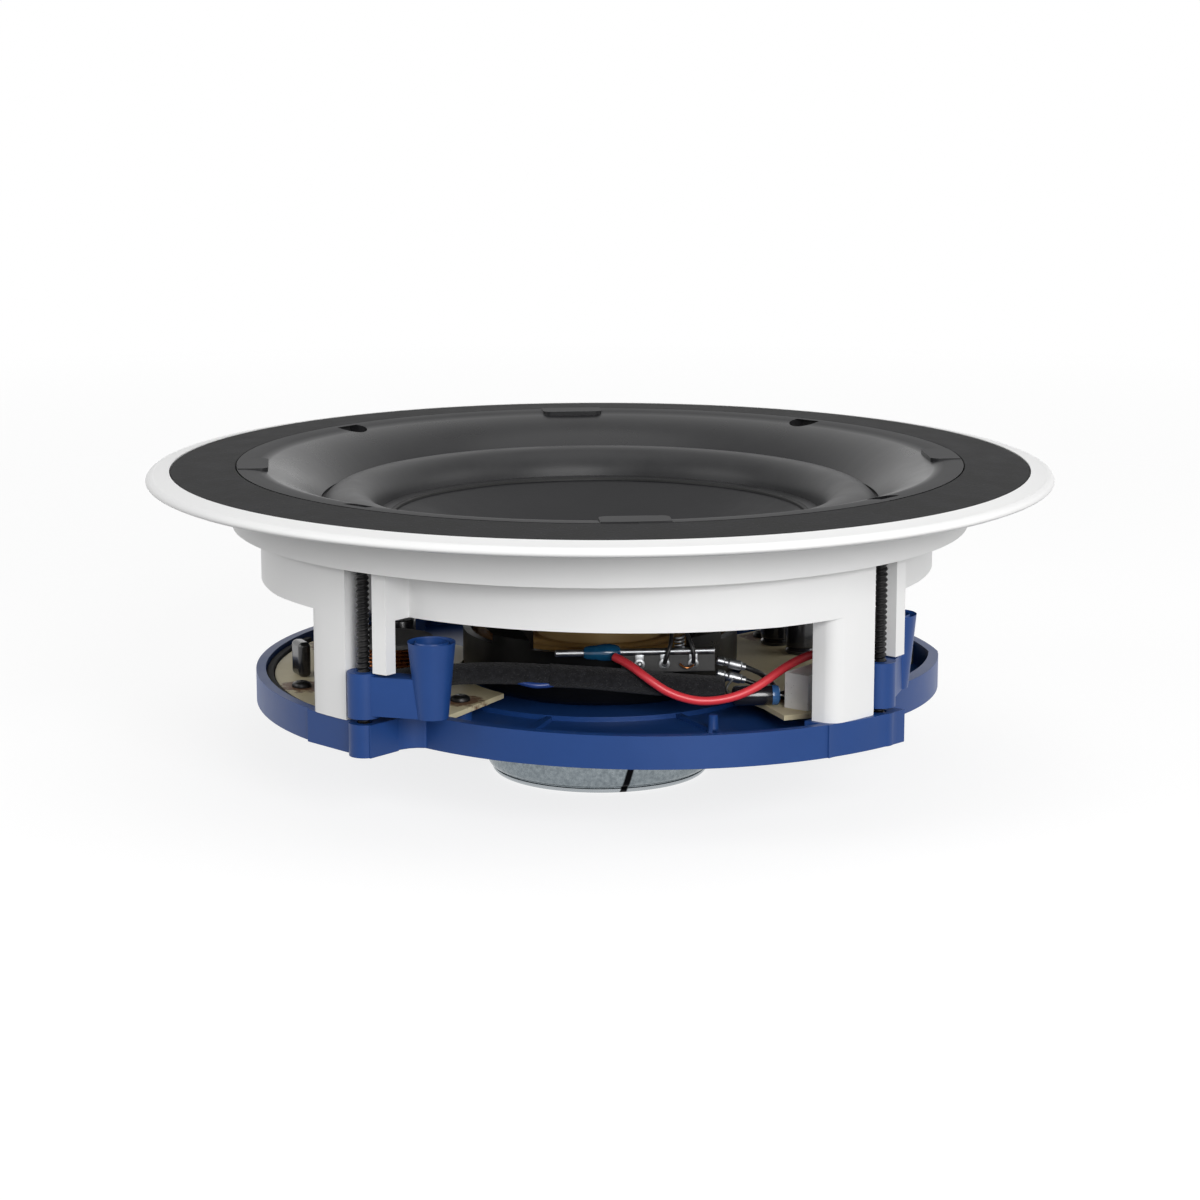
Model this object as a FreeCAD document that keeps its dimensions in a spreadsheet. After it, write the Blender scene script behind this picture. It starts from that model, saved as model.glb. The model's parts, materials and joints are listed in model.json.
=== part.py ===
import FreeCAD, Part
import math
import os
from types import SimpleNamespace

import Sketcher
from FreeCAD import Placement, Rotation, Vector

# Flush ceiling loudspeaker lying on its magnet can, front up.
# Origin: centre of the can's underside. +Z points to the room side, -Y to the front window.
# All lengths are millimetres, all angles degrees.
SIZES = {
    # front flange of the bezel
    "flange_reach": 26,
    "rim_width": 7.2,
    "rim_edge_rise": 1.2,
    "rim_roll": 2.6,
    "rim_lip": 2,
    "rim_dip": 0.9,
    "deck_thickness": 1.9,
    "seat_rise": 1,
    "collar_step": 5.4,
    "collar_height": 13.1,
    "collar_wall": 3,
    "shelf_height": 80.4,
    "shelf_thickness": 2.5,
    "shelf_ledge": 7,
    # saw-tooth lower collar with its four clamp housings
    "housing_wall": 2,
    "tooth_depth": 10.4,
    "tooth_end_angle": 68,
    "tooth_middle_angle": 37,
    "tooth_wall": 3,
    "hollow_start_angle": 14,
    "hollow_end_angle": 72.5,
    "hollow_lift": 1.2,
    "lower_collar_depth": 14.9,
    "lower_collar_wall": 4.2,
    "channel_half_width": 5.4,
    "channel_depth": 8.6,
    "leg_width": 17,
    "leg_depth": 10,
    "leg_round": 3.6,
    "pillar_width": 5,
    "pillar_depth": 4.5,
    "pillar_gap": 15.5,
    # trim ring in front of the driver
    "trim_overlap": 1.3,
    "trim_lip": 3,
    "trim_sheet": 2,
    "trim_bore_gap": 0.4,
    "trim_foot": 3,
    "trim_foot_rise": 1,
    "trim_shoulder": 4,
    "trim_lean": 1.7,
    "trim_swell": 2.8,
    "lug_length": 20,
    "lug_depth": 9.5,
    "lug_round": 2.5,
    "lug_rise": 0.3,
    "notch_half_width": 4.6,
    "notch_inset": 0.1,
    "edge_gap": 0.3,
    # driver
    "basket_flange_radius": 99.5,
    "basket_sheet": 2.5,
    "basket_hub_radius": 43,
    "basket_hub_rise": 20.5,
    "basket_hub_round": 8,
    "basket_bore_gap": 3.4,
    "basket_lip": 6.2,
    "window_overcut": 7,
    "window_border": 3,
    "window_angle": 70,
    "surround_inset": 8,
    "surround_hem": 5.3,
    "surround_width": 17.2,
    "surround_rise": 4.4,
    "surround_drop": 4.2,
    "rubber_sheet": 0.8,
    "cone_edge_gap": 0.6,
    "cone_lip": 3.8,
    "cone_sheet": 0.8,
    "cone_depth": 23,
    "cone_swell": 1.4,
    "coil_radius": 19.2,
    "former_wall": 0.6,
    "winding_wall": 0.8,
    "winding_length": 10,
    "coil_gap": 0.6,
    "spider_rise": 15.1,
    "spider_swing": 1,
    "spider_sheet": 0.6,
    "spider_seat": 4,
    # motor
    "can_radius": 35.5,
    "can_wall": 1.2,
    "can_floor": 1.5,
    "can_edge": 2.5,
    "can_groove": 0.7,
    "yoke_thickness": 5.5,
    "magnet_gap": 1,
    "plate_thickness": 6,
    # tweeter in the throat of the cone
    "tweeter_gap": 0.9,
    "tweeter_stem": 8,
    "tweeter_depth": 9.5,
    "tweeter_wall": 3.5,
    "tweeter_magnet_thickness": 5,
    "tweeter_plate_thickness": 3,
    "dome_radius": 12.6,
    "dome_rise": 4.2,
    "dome_film": 0.4,
    "dome_hem": 1.5,
    "waveguide_height": 4.5,
    # rear frame
    "frame_height": 24.7,
    "rim_depth": 9.8,
    "frame_wall": 3,
    "floor_thickness": 2.2,
    "rim_start_inset": 17.1,
    "rim_middle_inset": 6.2,
    "rim_end_reach": 4.9,
    "lobe_reach": 1.9,
    "left_lobe_reach": 1,
    "boss_radius": 4.6,
    "centre_ring_radius": 51,
    "centre_ring_rise": 1.5,
    "step_start_angle": 2.4,
    "step_end_angle": 93.4,
    "lobe_end_angle": 91.5,
    "step_wall_angle": 3.5,
    "waist_angle": 20,
    "foot_margin": 1.5,
    "foot_overhang": 0.4,
    "foot_taper": 3,
    "rib_thickness": 2,
    "rib_rise": 1.2,
    "gasket_width": 2.2,
    "gasket_rise": 1.2,
    # clamps
    "clamp_gap": 7.1,
    "screw_radius": 1.95,
    "screw_head_radius": 3.7,
    "screw_head_height": 3,
    "screw_hole_gap": 0.35,
    "screw_bury": 6.5,
    "thread_gap": 0.08,
    "dog_hub_radius": 4.8,
    "dog_lift": 1.7,
    "dog_arm_lift": 1,
    "dog_hub_height": 13.4,
    "dog_arm_width": 7,
    "dog_arm_height": 11.6,
    "dog_reach": 20.8,
    "dog_post_bottom": 4.7,
    "dog_post_top": 6.9,
    "dog_clearance": 5.9,
    "dog_cup_radius": 4.7,
    "dog_cup_depth": 5,
    "dog_stow_angle": 24,
    # fasteners
    "fixing_radius": 1.5,
    "fixing_head_radius": 3,
    "fixing_head_height": 1.8,
    "fixing_length": 9,
    "driver_screw_inset": 3.7,
    "pilot_gap": 0.2,
    "pilot_end_gap": 1,
    # crossover
    "board_thickness": 1.6,
    "board_stand": 4.1,
    "board_margin": 1.5,
    "board_post_radius": 3.5,
    "inductor_radius": 13,
    "inductor_height": 15,
    "bobbin_flange": 1.5,
    "bobbin_core": 6,
    "can_cap_radius": 5,
    "can_cap_height": 12,
    "film_cap_radius": 3,
    "film_cap_length": 14,
    "resistor_width": 8.5,
    "resistor_length": 22,
    "resistor_height": 11,
    "fuse_width": 8,
    "fuse_height": 11,
    "fuse_thickness": 4,
    # wiring
    "tag_start": 2,
    "tag_length": 28,
    "tag_width": 5.2,
    "tag_thickness": 1.6,
    "tag_offset": 49,
    "tag_rise": 18.6,
    "bracket_width": 10,
    "bracket_sheet": 1.4,
    "rail_radius": 1,
    "rail_overhang": 20,
    "sleeve_radius": 2.6,
    "sleeve_length": 11,
    "sleeve_start": 11.5,
    "tab_radius": 1.6,
    "tab_length": 9,
    "tab_pitch": 4,
    "tab_inset": 2,
    "tab_slope": 15,
    "harness_radius": 4,
    "lead_radius": 1.3,
    # input terminal under the rear frame
    "terminal_length": 30,
    "terminal_depth": 15,
    "terminal_height": 10,
    "terminal_radius": 72,
    "button_length": 8,
    "button_depth": 7,
    "button_height": 6,
    "button_stand": 3,
    "button_gap": 0.4,
}

# Share of its radius that the middle of a quarter round lies inside the corner
QUARTER = 1 - math.sqrt(0.5)
CLAMPS = {"rear_right": 45, "rear_left": 135, "front_left": 225, "front_right": 315}
CLAMP_TURN = 45
WINDOWS = 4
SPIDER_WAVES = 3
RIBS = 8
# Share of the shorter run that a bend of a lead takes up
BEND_SHARE = 0.45
# Gaskets inside the lobes: first and last angle
GASKETS = {"left": (152, 210), "right": (10, 30)}
# Places of the parts on the crossover boards, in hundredths of the clamp radius
BOARD_SCREWS = [(-43.2, -40.8), (-87.7, -19.2), (-78.8, 35.6), (-54.4, 41.3),
                (48.8, -45), (82.6, 11.3), (75, 37.5), (53.5, 36.6)]
CAPACITORS = [(-65.7, 7.5), (-58.2, 20.6), (61.9, 13.1), (56.3, 26.3)]
INDUCTOR = (-61.9, -18.8)
FILM_CAPACITOR = (32.4, -53.5)
RESISTOR = (52.3, -62.7)
RESISTOR_TURN = 48
FUSE = (-88.2, -8.4)
FUSE_TURN = 20

doc = FreeCAD.newDocument("ceiling_loudspeaker")
sheet = doc.addObject("Spreadsheet::Sheet", "Sizes")
for row, (alias, number) in enumerate(SIZES.items(), start=1):
    sheet.set(f"A{row}", alias.replace("_", " "))
    sheet.set(f"B{row}", str(number))
    sheet.setAlias(f"B{row}", alias)
doc.recompute()


class Size:
    """A number together with the expression that gives it from the sheet."""

    def __init__(self, number, text):
        self.number = number
        self.text = text

    def __add__(self, other):
        other = as_size(other)
        return Size(self.number + other.number, f"({self.text} + {other.text})")

    def __sub__(self, other):
        other = as_size(other)
        return Size(self.number - other.number, f"({self.text} - {other.text})")

    def __mul__(self, other):
        other = as_size(other)
        return Size(self.number * other.number, f"({self.text} * {other.text})")

    def __truediv__(self, other):
        other = as_size(other)
        return Size(self.number / other.number, f"({self.text} / {other.text})")

    def __radd__(self, other):
        return as_size(other) + self

    def __rsub__(self, other):
        return as_size(other) - self

    def __rmul__(self, other):
        return as_size(other) * self

    def __neg__(self):
        return Size(-self.number, f"(0 - {self.text})")


def as_size(number):
    if isinstance(number, Size):
        return number
    return Size(float(number), repr(float(number)))


def root(amount):
    return Size(math.sqrt(amount.number), f"sqrt({amount.text})")


def polar(radius, angle):
    radius = as_size(radius)
    angle = as_size(angle)
    turn = math.radians(angle.number)
    across = Size(radius.number * math.cos(turn), f"({radius.text} * cos({angle.text} * 1 deg))")
    along = Size(radius.number * math.sin(turn), f"({radius.text} * sin({angle.text} * 1 deg))")
    return across, along


def beside(radius, offset):
    """Distance out from the axis of a point on a circle that lies offset to the side."""
    return root(radius * radius - offset * offset)


size = SimpleNamespace(**{alias: Size(getattr(sheet, alias), "Sizes." + alias) for alias in SIZES})
nodes = []


def bind(thing, prop, amount):
    thing.setExpression(prop, as_size(amount).text)


def node(thing, label):
    thing.Label = label
    nodes.append(thing)
    return thing


def place(thing, x, y, z, turn=0):
    thing.Placement = Placement(Vector(0, 0, 0), Rotation(Vector(0, 0, 1), turn))
    bind(thing, "Placement.Base.x", x)
    bind(thing, "Placement.Base.y", y)
    bind(thing, "Placement.Base.z", z)
    return thing


def turn_about_axis(thing, angle):
    thing.Placement = Placement(Vector(0, 0, 0), Rotation(Vector(0, 0, 1), angle))
    return thing


def new_body(name):
    return doc.addObject("PartDesign::Body", name)


def new_sketch(body, role, name, lift=0):
    plane = [item for item in body.Origin.OriginFeatures if item.Role == role][0]
    sketch = body.newObject("Sketcher::SketchObject", name)
    sketch.AttachmentSupport = [(plane, "")]
    sketch.MapMode = "FlatFace"
    bind(sketch, "AttachmentOffset.Base.z", lift)
    return sketch


def hold_point(sketch, geometry, vertex, x, y):
    for kind, amount in (("DistanceX", x), ("DistanceY", y)):
        rule = Sketcher.Constraint(kind, -1, 1, geometry, vertex, as_size(amount).number)
        index = sketch.addConstraint(rule)
        bind(sketch, f"Constraints[{index}]", amount)


def flat(x, y):
    return Vector(as_size(x).number, as_size(y).number, 0)


def draw_outline(sketch, corners):
    """Closed outline. A corner is (x, y), or (x, y, via_x, via_y) when an arc leads to it."""
    edges = []
    for index, corner in enumerate(corners):
        start = flat(*corners[index - 1][:2])
        end = flat(*corner[:2])
        if len(corner) == 2:
            edge = sketch.addGeometry(Part.LineSegment(start, end), False)
            edges.append((edge, 1, 2))
            continue
        middle = flat(*corner[2:])
        edge = sketch.addGeometry(Part.Arc(start, middle, end), False)
        first = sketch.getPoint(edge, 1)
        forward = first.distanceToPoint(start) < first.distanceToPoint(end)
        edges.append((edge, 1, 2) if forward else (edge, 2, 1))
        via = sketch.addGeometry(Part.Point(middle), True)
        hold_point(sketch, via, 1, *corner[2:])
        sketch.addConstraint(Sketcher.Constraint("PointOnObject", via, 1, edge))
    for index, corner in enumerate(corners):
        edge, _, end = edges[index]
        following, start, _ = edges[(index + 1) % len(edges)]
        sketch.addConstraint(Sketcher.Constraint("Coincident", edge, end, following, start))
        hold_point(sketch, edge, end, *corner[:2])


def draw_circle(sketch, x, y, radius):
    circle = Part.Circle(flat(x, y), Vector(0, 0, 1), as_size(radius).number)
    edge = sketch.addGeometry(circle, False)
    index = sketch.addConstraint(Sketcher.Constraint("Radius", edge, as_size(radius).number))
    bind(sketch, f"Constraints[{index}]", radius)
    hold_point(sketch, edge, 3, x, y)


def revolve(body, profile, name="turned"):
    sketch = new_sketch(body, "XZ_Plane", name + "_profile")
    draw_outline(sketch, profile)
    feature = body.newObject("PartDesign::Revolution", name)
    feature.Profile = sketch
    feature.ReferenceAxis = (sketch, ["V_Axis"])
    feature.Angle = 360
    return feature


def repeat(body, feature, sketch, count):
    if count == 1:
        return
    pattern = body.newObject("PartDesign::PolarPattern", feature.Name + "_ring")
    pattern.Originals = [feature]
    pattern.Axis = (sketch, ["N_Axis"])
    pattern.Angle = 360
    pattern.Occurrences = count
    body.Tip = pattern


def pad(body, name, low, high, outlines=(), circles=(), count=1):
    sketch = new_sketch(body, "XY_Plane", name + "_outline", low)
    for corners in outlines:
        draw_outline(sketch, corners)
    for circle in circles:
        draw_circle(sketch, *circle)
    feature = body.newObject("PartDesign::Pad", name)
    feature.Profile = sketch
    bind(feature, "Length", as_size(high) - low)
    repeat(body, feature, sketch, count)


def pocket(body, name, low, high, outlines=(), circles=(), count=1):
    """Cut upwards from low to high."""
    doc.recompute()
    before = body.Shape.Volume
    sketch = new_sketch(body, "XY_Plane", name + "_outline", low)
    for corners in outlines:
        draw_outline(sketch, corners)
    for circle in circles:
        draw_circle(sketch, *circle)
    feature = body.newObject("PartDesign::Pocket", name)
    feature.Profile = sketch
    feature.Reversed = True
    bind(feature, "Length", as_size(high) - low)
    repeat(body, feature, sketch, count)
    doc.recompute()
    if body.Shape.Volume >= before:
        raise RuntimeError(f"{name} cuts nothing")


def turned(label, profile):
    body = new_body(label)
    revolve(body, profile)
    return body


def cylinder(name, radius, height):
    thing = doc.addObject("Part::Cylinder", name)
    bind(thing, "Radius", radius)
    bind(thing, "Height", height)
    return thing


def block(name, length, width, height):
    thing = doc.addObject("Part::Box", name)
    bind(thing, "Length", length)
    bind(thing, "Width", width)
    bind(thing, "Height", height)
    return thing


def fuse(name, shapes):
    thing = doc.addObject("Part::MultiFuse", name)
    thing.Shapes = shapes
    return thing


def cut(name, base, tool):
    thing = doc.addObject("Part::Cut", name)
    thing.Base = base
    thing.Tool = tool
    return thing


def group(label, shapes):
    thing = doc.addObject("Part::Compound", label)
    thing.Links = shapes
    return node(thing, label)


# Radii that several pieces share, each a step from the piece that it seats on
clamp_radius = size.basket_flange_radius + size.clamp_gap
housing_radius = clamp_radius + size.housing_wall
collar_radius = housing_radius + size.collar_step
rim_radius = collar_radius + size.flange_reach
tooth_radius = housing_radius - size.tooth_depth
lower_collar_bore = tooth_radius - size.lower_collar_wall
driver_screw_radius = size.basket_flange_radius - size.driver_screw_inset
trim_radius = collar_radius - size.collar_wall + size.trim_overlap
seat_outer_radius = rim_radius - size.rim_width
surround_flange_radius = size.basket_flange_radius - size.surround_inset
surround_outer = surround_flange_radius - size.surround_hem
surround_inner = surround_outer - size.surround_width
cone_edge_radius = surround_inner - size.cone_edge_gap
basket_mouth = surround_outer - size.basket_lip
magnet_radius = size.can_radius - size.can_wall - size.magnet_gap
rim_start_radius = clamp_radius - size.rim_start_inset
lobe_radius = clamp_radius + size.lobe_reach
left_lobe_radius = clamp_radius + size.left_lobe_reach
# Heights that several pieces share
shelf_top = size.shelf_height + size.shelf_thickness
ceiling_face_height = size.shelf_height + size.collar_height
lower_collar_height = size.shelf_height - size.lower_collar_depth
deck_top = ceiling_face_height + size.deck_thickness
frame_top = size.frame_height + size.rim_depth
floor_top = size.frame_height + size.floor_thickness
hub_floor = floor_top + size.centre_ring_rise
board_height = floor_top + size.board_stand
spider_height = hub_floor + size.spider_rise
tag_top = hub_floor + size.tag_rise
flange_top = shelf_top + size.basket_sheet
surround_seat_top = flange_top + size.rubber_sheet
trim_top = deck_top + size.trim_lip
plate_bottom = hub_floor - size.plate_thickness
yoke_top = size.can_floor + size.yoke_thickness
cone_edge_top = surround_seat_top - size.surround_drop - size.rubber_sheet
cone_throat_top = cone_edge_top - size.cone_depth
board_top = board_height + size.board_thickness
former_radius = size.coil_radius + size.former_wall
coil_edge = former_radius + size.winding_wall
pole_radius = size.coil_radius - size.coil_gap
plate_bore = coil_edge + size.coil_gap


def make_bezel():
    body = new_body("bezel")
    inner = collar_radius - size.collar_wall
    shelf_bore = size.basket_flange_radius - size.shelf_ledge
    rim_edge_height = ceiling_face_height + size.rim_edge_rise
    lip_top = deck_top + size.rim_lip
    roll_top = lip_top - size.rim_dip
    roll_side = rim_radius - size.rim_roll * QUARTER
    revolve(body, [
        (inner, deck_top),
        (inner, shelf_top),
        (shelf_bore, shelf_top),
        (shelf_bore, size.shelf_height),
        (lower_collar_bore, size.shelf_height),
        (lower_collar_bore, lower_collar_height),
        (housing_radius, lower_collar_height),
        (housing_radius, size.shelf_height),
        (collar_radius, size.shelf_height),
        (collar_radius, ceiling_face_height),
        (rim_radius - size.rim_roll, ceiling_face_height),
        (rim_radius, rim_edge_height,
         roll_side, ceiling_face_height + size.rim_edge_rise * QUARTER),
        (rim_radius - size.rim_roll, roll_top,
         roll_side, roll_top - (roll_top - rim_edge_height) * QUARTER),
        (seat_outer_radius, lip_top),
        (seat_outer_radius, deck_top),
    ], "flange")
    # The wall of each quarter spirals in from one clamp housing to the pillar of the next
    pillar_edge = size.channel_half_width + size.pillar_width
    outside = housing_radius + size.collar_wall
    tooth_middle = (tooth_radius + housing_radius) / 2
    pocket(body, "tooth", lower_collar_height, size.shelf_height, [[
        (tooth_radius, pillar_edge),
        (*polar(housing_radius, size.tooth_end_angle), *polar(tooth_middle, size.tooth_middle_angle)),
        polar(outside, size.tooth_end_angle),
        (outside, pillar_edge, *polar(outside, size.tooth_middle_angle)),
    ]], count=4)
    inside = lower_collar_bore - size.tooth_wall
    pocket(body, "hollow", lower_collar_height, size.shelf_height, [[
        polar(inside, size.hollow_start_angle),
        polar(tooth_radius - size.tooth_wall + size.hollow_lift, size.hollow_start_angle),
        (*polar(housing_radius - size.tooth_wall - size.hollow_lift, size.hollow_end_angle),
         *polar(tooth_middle - size.tooth_wall, size.tooth_middle_angle)),
        polar(inside, size.hollow_end_angle),
    ]], count=4)
    half = size.channel_half_width
    channel_floor = clamp_radius - size.channel_depth
    pocket(body, "channel", lower_collar_height, size.shelf_height, [[
        (channel_floor, -half),
        (outside, -half),
        (outside, half),
        (channel_floor, half),
    ]], count=4)
    leg_side = half + size.leg_width
    leg_inside = housing_radius - size.leg_depth
    round_side = leg_side - size.leg_round
    pad(body, "leg", frame_top, lower_collar_height, [[
        (leg_inside, -half),
        (leg_inside, -leg_side),
        (beside(housing_radius, leg_side) - size.leg_round, -leg_side),
        (beside(housing_radius, round_side), -round_side,
         beside(housing_radius, leg_side) - size.leg_round * QUARTER,
         -(leg_side - size.leg_round * QUARTER)),
        (beside(housing_radius, half), -half,
         beside(housing_radius, (half + round_side) / 2), -((half + round_side) / 2)),
    ]], count=4)
    pad(body, "pillar", frame_top + size.pillar_gap, lower_collar_height, [[
        (housing_radius - size.pillar_depth, half),
        (beside(housing_radius, half), half),
        (beside(housing_radius, pillar_edge), pillar_edge,
         beside(housing_radius, half + size.pillar_width / 2), half + size.pillar_width / 2),
        (housing_radius - size.pillar_depth, pillar_edge),
    ]], count=4)
    screw_hole = size.screw_radius + size.screw_hole_gap
    pocket(body, "screw_hole", size.shelf_height, shelf_top,
           circles=[(clamp_radius, 0, screw_hole)], count=4)
    pilot = size.fixing_radius + size.pilot_gap
    pocket(body, "driver_pilot", size.shelf_height, shelf_top,
           circles=[(*polar(driver_screw_radius, CLAMP_TURN), pilot)], count=4)
    leg_middle = half + size.leg_width / 2
    pocket(body, "leg_pilot", frame_top, frame_top + size.fixing_length,
           circles=[(housing_radius - size.leg_depth / 2, -leg_middle, pilot)], count=4)
    turn_about_axis(body, CLAMP_TURN)
    node(body, "bezel")


def make_front_rings():
    ring = turned("grille_seat_ring", [
        (trim_radius + size.edge_gap, deck_top),
        (seat_outer_radius - size.edge_gap, deck_top),
        (seat_outer_radius - size.edge_gap, deck_top + size.rim_lip),
        (trim_radius + size.edge_gap, deck_top + size.rim_lip + size.seat_rise),
    ])
    node(ring, "grille_seat_ring")
    trim = new_body("baffle_trim")
    inner = surround_outer + size.trim_bore_gap
    foot = surround_seat_top
    foot_top = foot + size.trim_foot_rise
    middle = (trim_radius + inner) / 2
    middle_height = (trim_top + foot_top) / 2
    back = inner + size.trim_foot
    shoulder = trim_radius - size.trim_shoulder
    revolve(trim, [
        (trim_radius, deck_top),
        (trim_radius, trim_top),
        (inner, foot_top, middle - size.trim_lean, middle_height + size.trim_swell),
        (inner, foot),
        (back, foot),
        (shoulder, deck_top, middle, middle_height + size.trim_swell - size.trim_sheet),
    ], "flare")
    half = size.lug_length / 2
    outer = trim_radius - size.edge_gap
    lug_inner = outer - size.lug_depth
    pad(trim, "lug", deck_top, trim_top + size.lug_rise, [[
        (beside(outer, half), -half),
        (beside(outer, half), half, outer, 0),
        (lug_inner + size.lug_round, half),
        (lug_inner, half - size.lug_round,
         lug_inner + size.lug_round * QUARTER, half - size.lug_round * QUARTER),
        (lug_inner, -(half - size.lug_round)),
        (lug_inner + size.lug_round, -half,
         lug_inner + size.lug_round * QUARTER, -(half - size.lug_round * QUARTER)),
    ]], count=4)
    notch_radius = clamp_radius - size.notch_inset
    turned_radius = notch_radius * math.sqrt(0.5)
    slant = size.notch_half_width * math.sqrt(0.5)
    past_edge = (trim_radius + size.trim_lip) * math.sqrt(0.5)
    tip = (notch_radius - size.notch_half_width) * math.sqrt(0.5)
    pocket(trim, "notch", foot_top, trim_top, [[
        (turned_radius + slant, turned_radius - slant, tip, tip),
        (past_edge + slant, past_edge - slant),
        (past_edge - slant, past_edge + slant),
        (turned_radius - slant, turned_radius + slant),
    ]], count=4)
    node(trim, "baffle_trim")


def make_driver():
    make_basket()
    roll_inner = surround_inner
    inner_top = cone_edge_top + size.rubber_sheet
    crest = (surround_outer + roll_inner) / 2
    crest_top = surround_seat_top + size.surround_rise
    sheet_rubber = size.rubber_sheet
    cone_lip_radius = cone_edge_radius - size.cone_lip
    surround = turned("surround", [
        (surround_flange_radius, flange_top),
        (surround_flange_radius, surround_seat_top),
        (surround_outer, surround_seat_top),
        (roll_inner, inner_top, crest, crest_top),
        (cone_lip_radius + size.edge_gap, inner_top),
        (cone_lip_radius + size.edge_gap, cone_edge_top),
        (roll_inner + sheet_rubber, cone_edge_top),
        (surround_outer - sheet_rubber, flange_top, crest, crest_top - sheet_rubber),
    ])
    node(surround, "surround")
    cone_bottom = cone_edge_top - size.cone_sheet
    middle = (cone_lip_radius + former_radius) / 2
    middle_height = (cone_edge_top + cone_throat_top) / 2 + size.cone_swell
    cone = turned("cone", [
        (cone_edge_radius, cone_bottom),
        (cone_edge_radius, cone_edge_top),
        (cone_lip_radius, cone_edge_top),
        (former_radius, cone_throat_top, middle, middle_height),
        (former_radius, cone_throat_top - size.cone_sheet * 2),
        (cone_lip_radius + size.cone_sheet, cone_bottom,
         middle + size.cone_sheet, middle_height - size.cone_sheet),
    ])
    node(cone, "cone")
    winding_middle = hub_floor - size.plate_thickness / 2
    winding_low = winding_middle - size.winding_length / 2
    former = turned("voice_coil_former", [
        (size.coil_radius, winding_low),
        (former_radius, winding_low),
        (former_radius, cone_throat_top),
        (size.coil_radius, cone_throat_top),
    ])
    node(former, "voice_coil_former")
    winding = turned("voice_coil_winding", [
        (former_radius, winding_low),
        (coil_edge, winding_low),
        (coil_edge, winding_low + size.winding_length),
        (former_radius, winding_low + size.winding_length),
    ])
    node(winding, "voice_coil_winding")
    make_spider()


def make_basket():
    body = new_body("basket")
    gauge = size.basket_sheet
    hub = size.basket_hub_radius
    hub_top = hub_floor + size.basket_hub_rise
    cone_out = basket_mouth + gauge * 2
    landing = spider_height - gauge
    bore = coil_edge + size.basket_bore_gap
    bend = size.basket_hub_round
    inner_bend = bend - gauge
    inner_middle = bend - inner_bend * (1 - QUARTER)
    revolve(body, [
        (bore, hub_floor),
        (hub - bend, hub_floor),
        (hub, hub_floor + bend, hub - bend * QUARTER, hub_floor + bend * QUARTER),
        (hub, hub_top),
        (cone_out, shelf_top),
        (size.basket_flange_radius, shelf_top),
        (size.basket_flange_radius, flange_top),
        (basket_mouth, flange_top),
        (hub - gauge, hub_top + gauge),
        (hub - gauge, spider_height),
        (hub - size.spider_seat, spider_height),
        (hub - size.spider_seat, landing),
        (hub - gauge, landing),
        (hub - gauge, hub_floor + bend),
        (hub - bend, hub_floor + gauge, hub - inner_middle, hub_floor + inner_middle),
        (bore, hub_floor + gauge),
    ], "bowl")
    half = size.window_angle / 2
    window_inner = hub - size.window_overcut
    window_outer = basket_mouth - size.window_border
    pocket(body, "window", spider_height + gauge, shelf_top, [[
        (*polar(window_inner, -half), window_inner, 0),
        polar(window_outer, -half),
        (*polar(window_outer, half), window_outer, 0),
        polar(window_inner, half),
    ]], count=WINDOWS)
    screw_hole = size.fixing_radius + size.pilot_gap
    pocket(body, "flange_hole", shelf_top, flange_top,
           circles=[(driver_screw_radius, 0, screw_hole)], count=4)
    turn_about_axis(body, 90)
    node(body, "basket")


def make_spider():
    outer = size.basket_hub_radius - size.basket_sheet - size.edge_gap
    inner = former_radius
    seat = size.basket_hub_radius - size.spider_seat
    low = spider_height
    pitch = (seat - inner) / (2 * SPIDER_WAVES)
    gauge = size.spider_sheet
    upper = [(outer, low), (outer, low + gauge)]
    lower = []
    for wave in range(2 * SPIDER_WAVES):
        side = 1 if wave % 2 == 0 else -1
        start = seat - pitch * wave
        swing = size.spider_swing * side
        if wave == 0:
            upper.append((start, low + gauge))
        upper.append((start - pitch, low + gauge, start - pitch / 2, low + gauge + swing))
        via = (start - pitch / 2, low + swing)
        lower.insert(0, (start, low, *via))
    upper.append((inner, low))
    spider = turned("spider", upper + lower)
    node(spider, "spider")


def make_motor():
    can_top = hub_floor - size.can_floor
    edge = size.can_edge
    groove_low = size.can_floor + edge * 1.6
    inner = size.can_radius - size.can_wall
    can = turned("shield_can", [
        (0, 0),
        (size.can_radius - edge, 0),
        (size.can_radius, edge, size.can_radius - edge * QUARTER, edge * QUARTER),
        (size.can_radius, groove_low),
        (size.can_radius, groove_low + edge,
         size.can_radius - size.can_groove, groove_low + edge / 2),
        (size.can_radius, can_top),
        (inner, can_top),
        (inner, size.can_floor + edge),
        (inner - edge, size.can_floor, inner - edge * QUARTER, size.can_floor + edge * QUARTER),
        (0, size.can_floor),
    ])
    node(can, "shield_can")
    stem_hole = size.tweeter_stem / 2
    yoke = turned("yoke", [
        (stem_hole, size.can_floor),
        (magnet_radius - edge, size.can_floor),
        (magnet_radius - edge / 2, yoke_top),
        (pole_radius, yoke_top),
        (pole_radius, hub_floor),
        (stem_hole, hub_floor),
    ])
    node(yoke, "yoke")
    magnet = turned("ferrite_magnet", [
        (plate_bore + size.coil_gap, yoke_top),
        (magnet_radius, yoke_top),
        (magnet_radius, plate_bottom),
        (plate_bore + size.coil_gap, plate_bottom),
    ])
    node(magnet, "ferrite_magnet")
    plate = turned("top_plate", [
        (plate_bore, plate_bottom),
        (magnet_radius, plate_bottom),
        (magnet_radius, hub_floor),
        (plate_bore, hub_floor),
    ])
    node(plate, "top_plate")


def cap_middle(radius, rise, base):
    """A point half-way out on a spherical cap that stands on the plane z = base."""
    ball = (radius * radius + rise * rise) / (2 * rise)
    return radius / 2, base + rise - ball + beside(ball, radius / 2)


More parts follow.
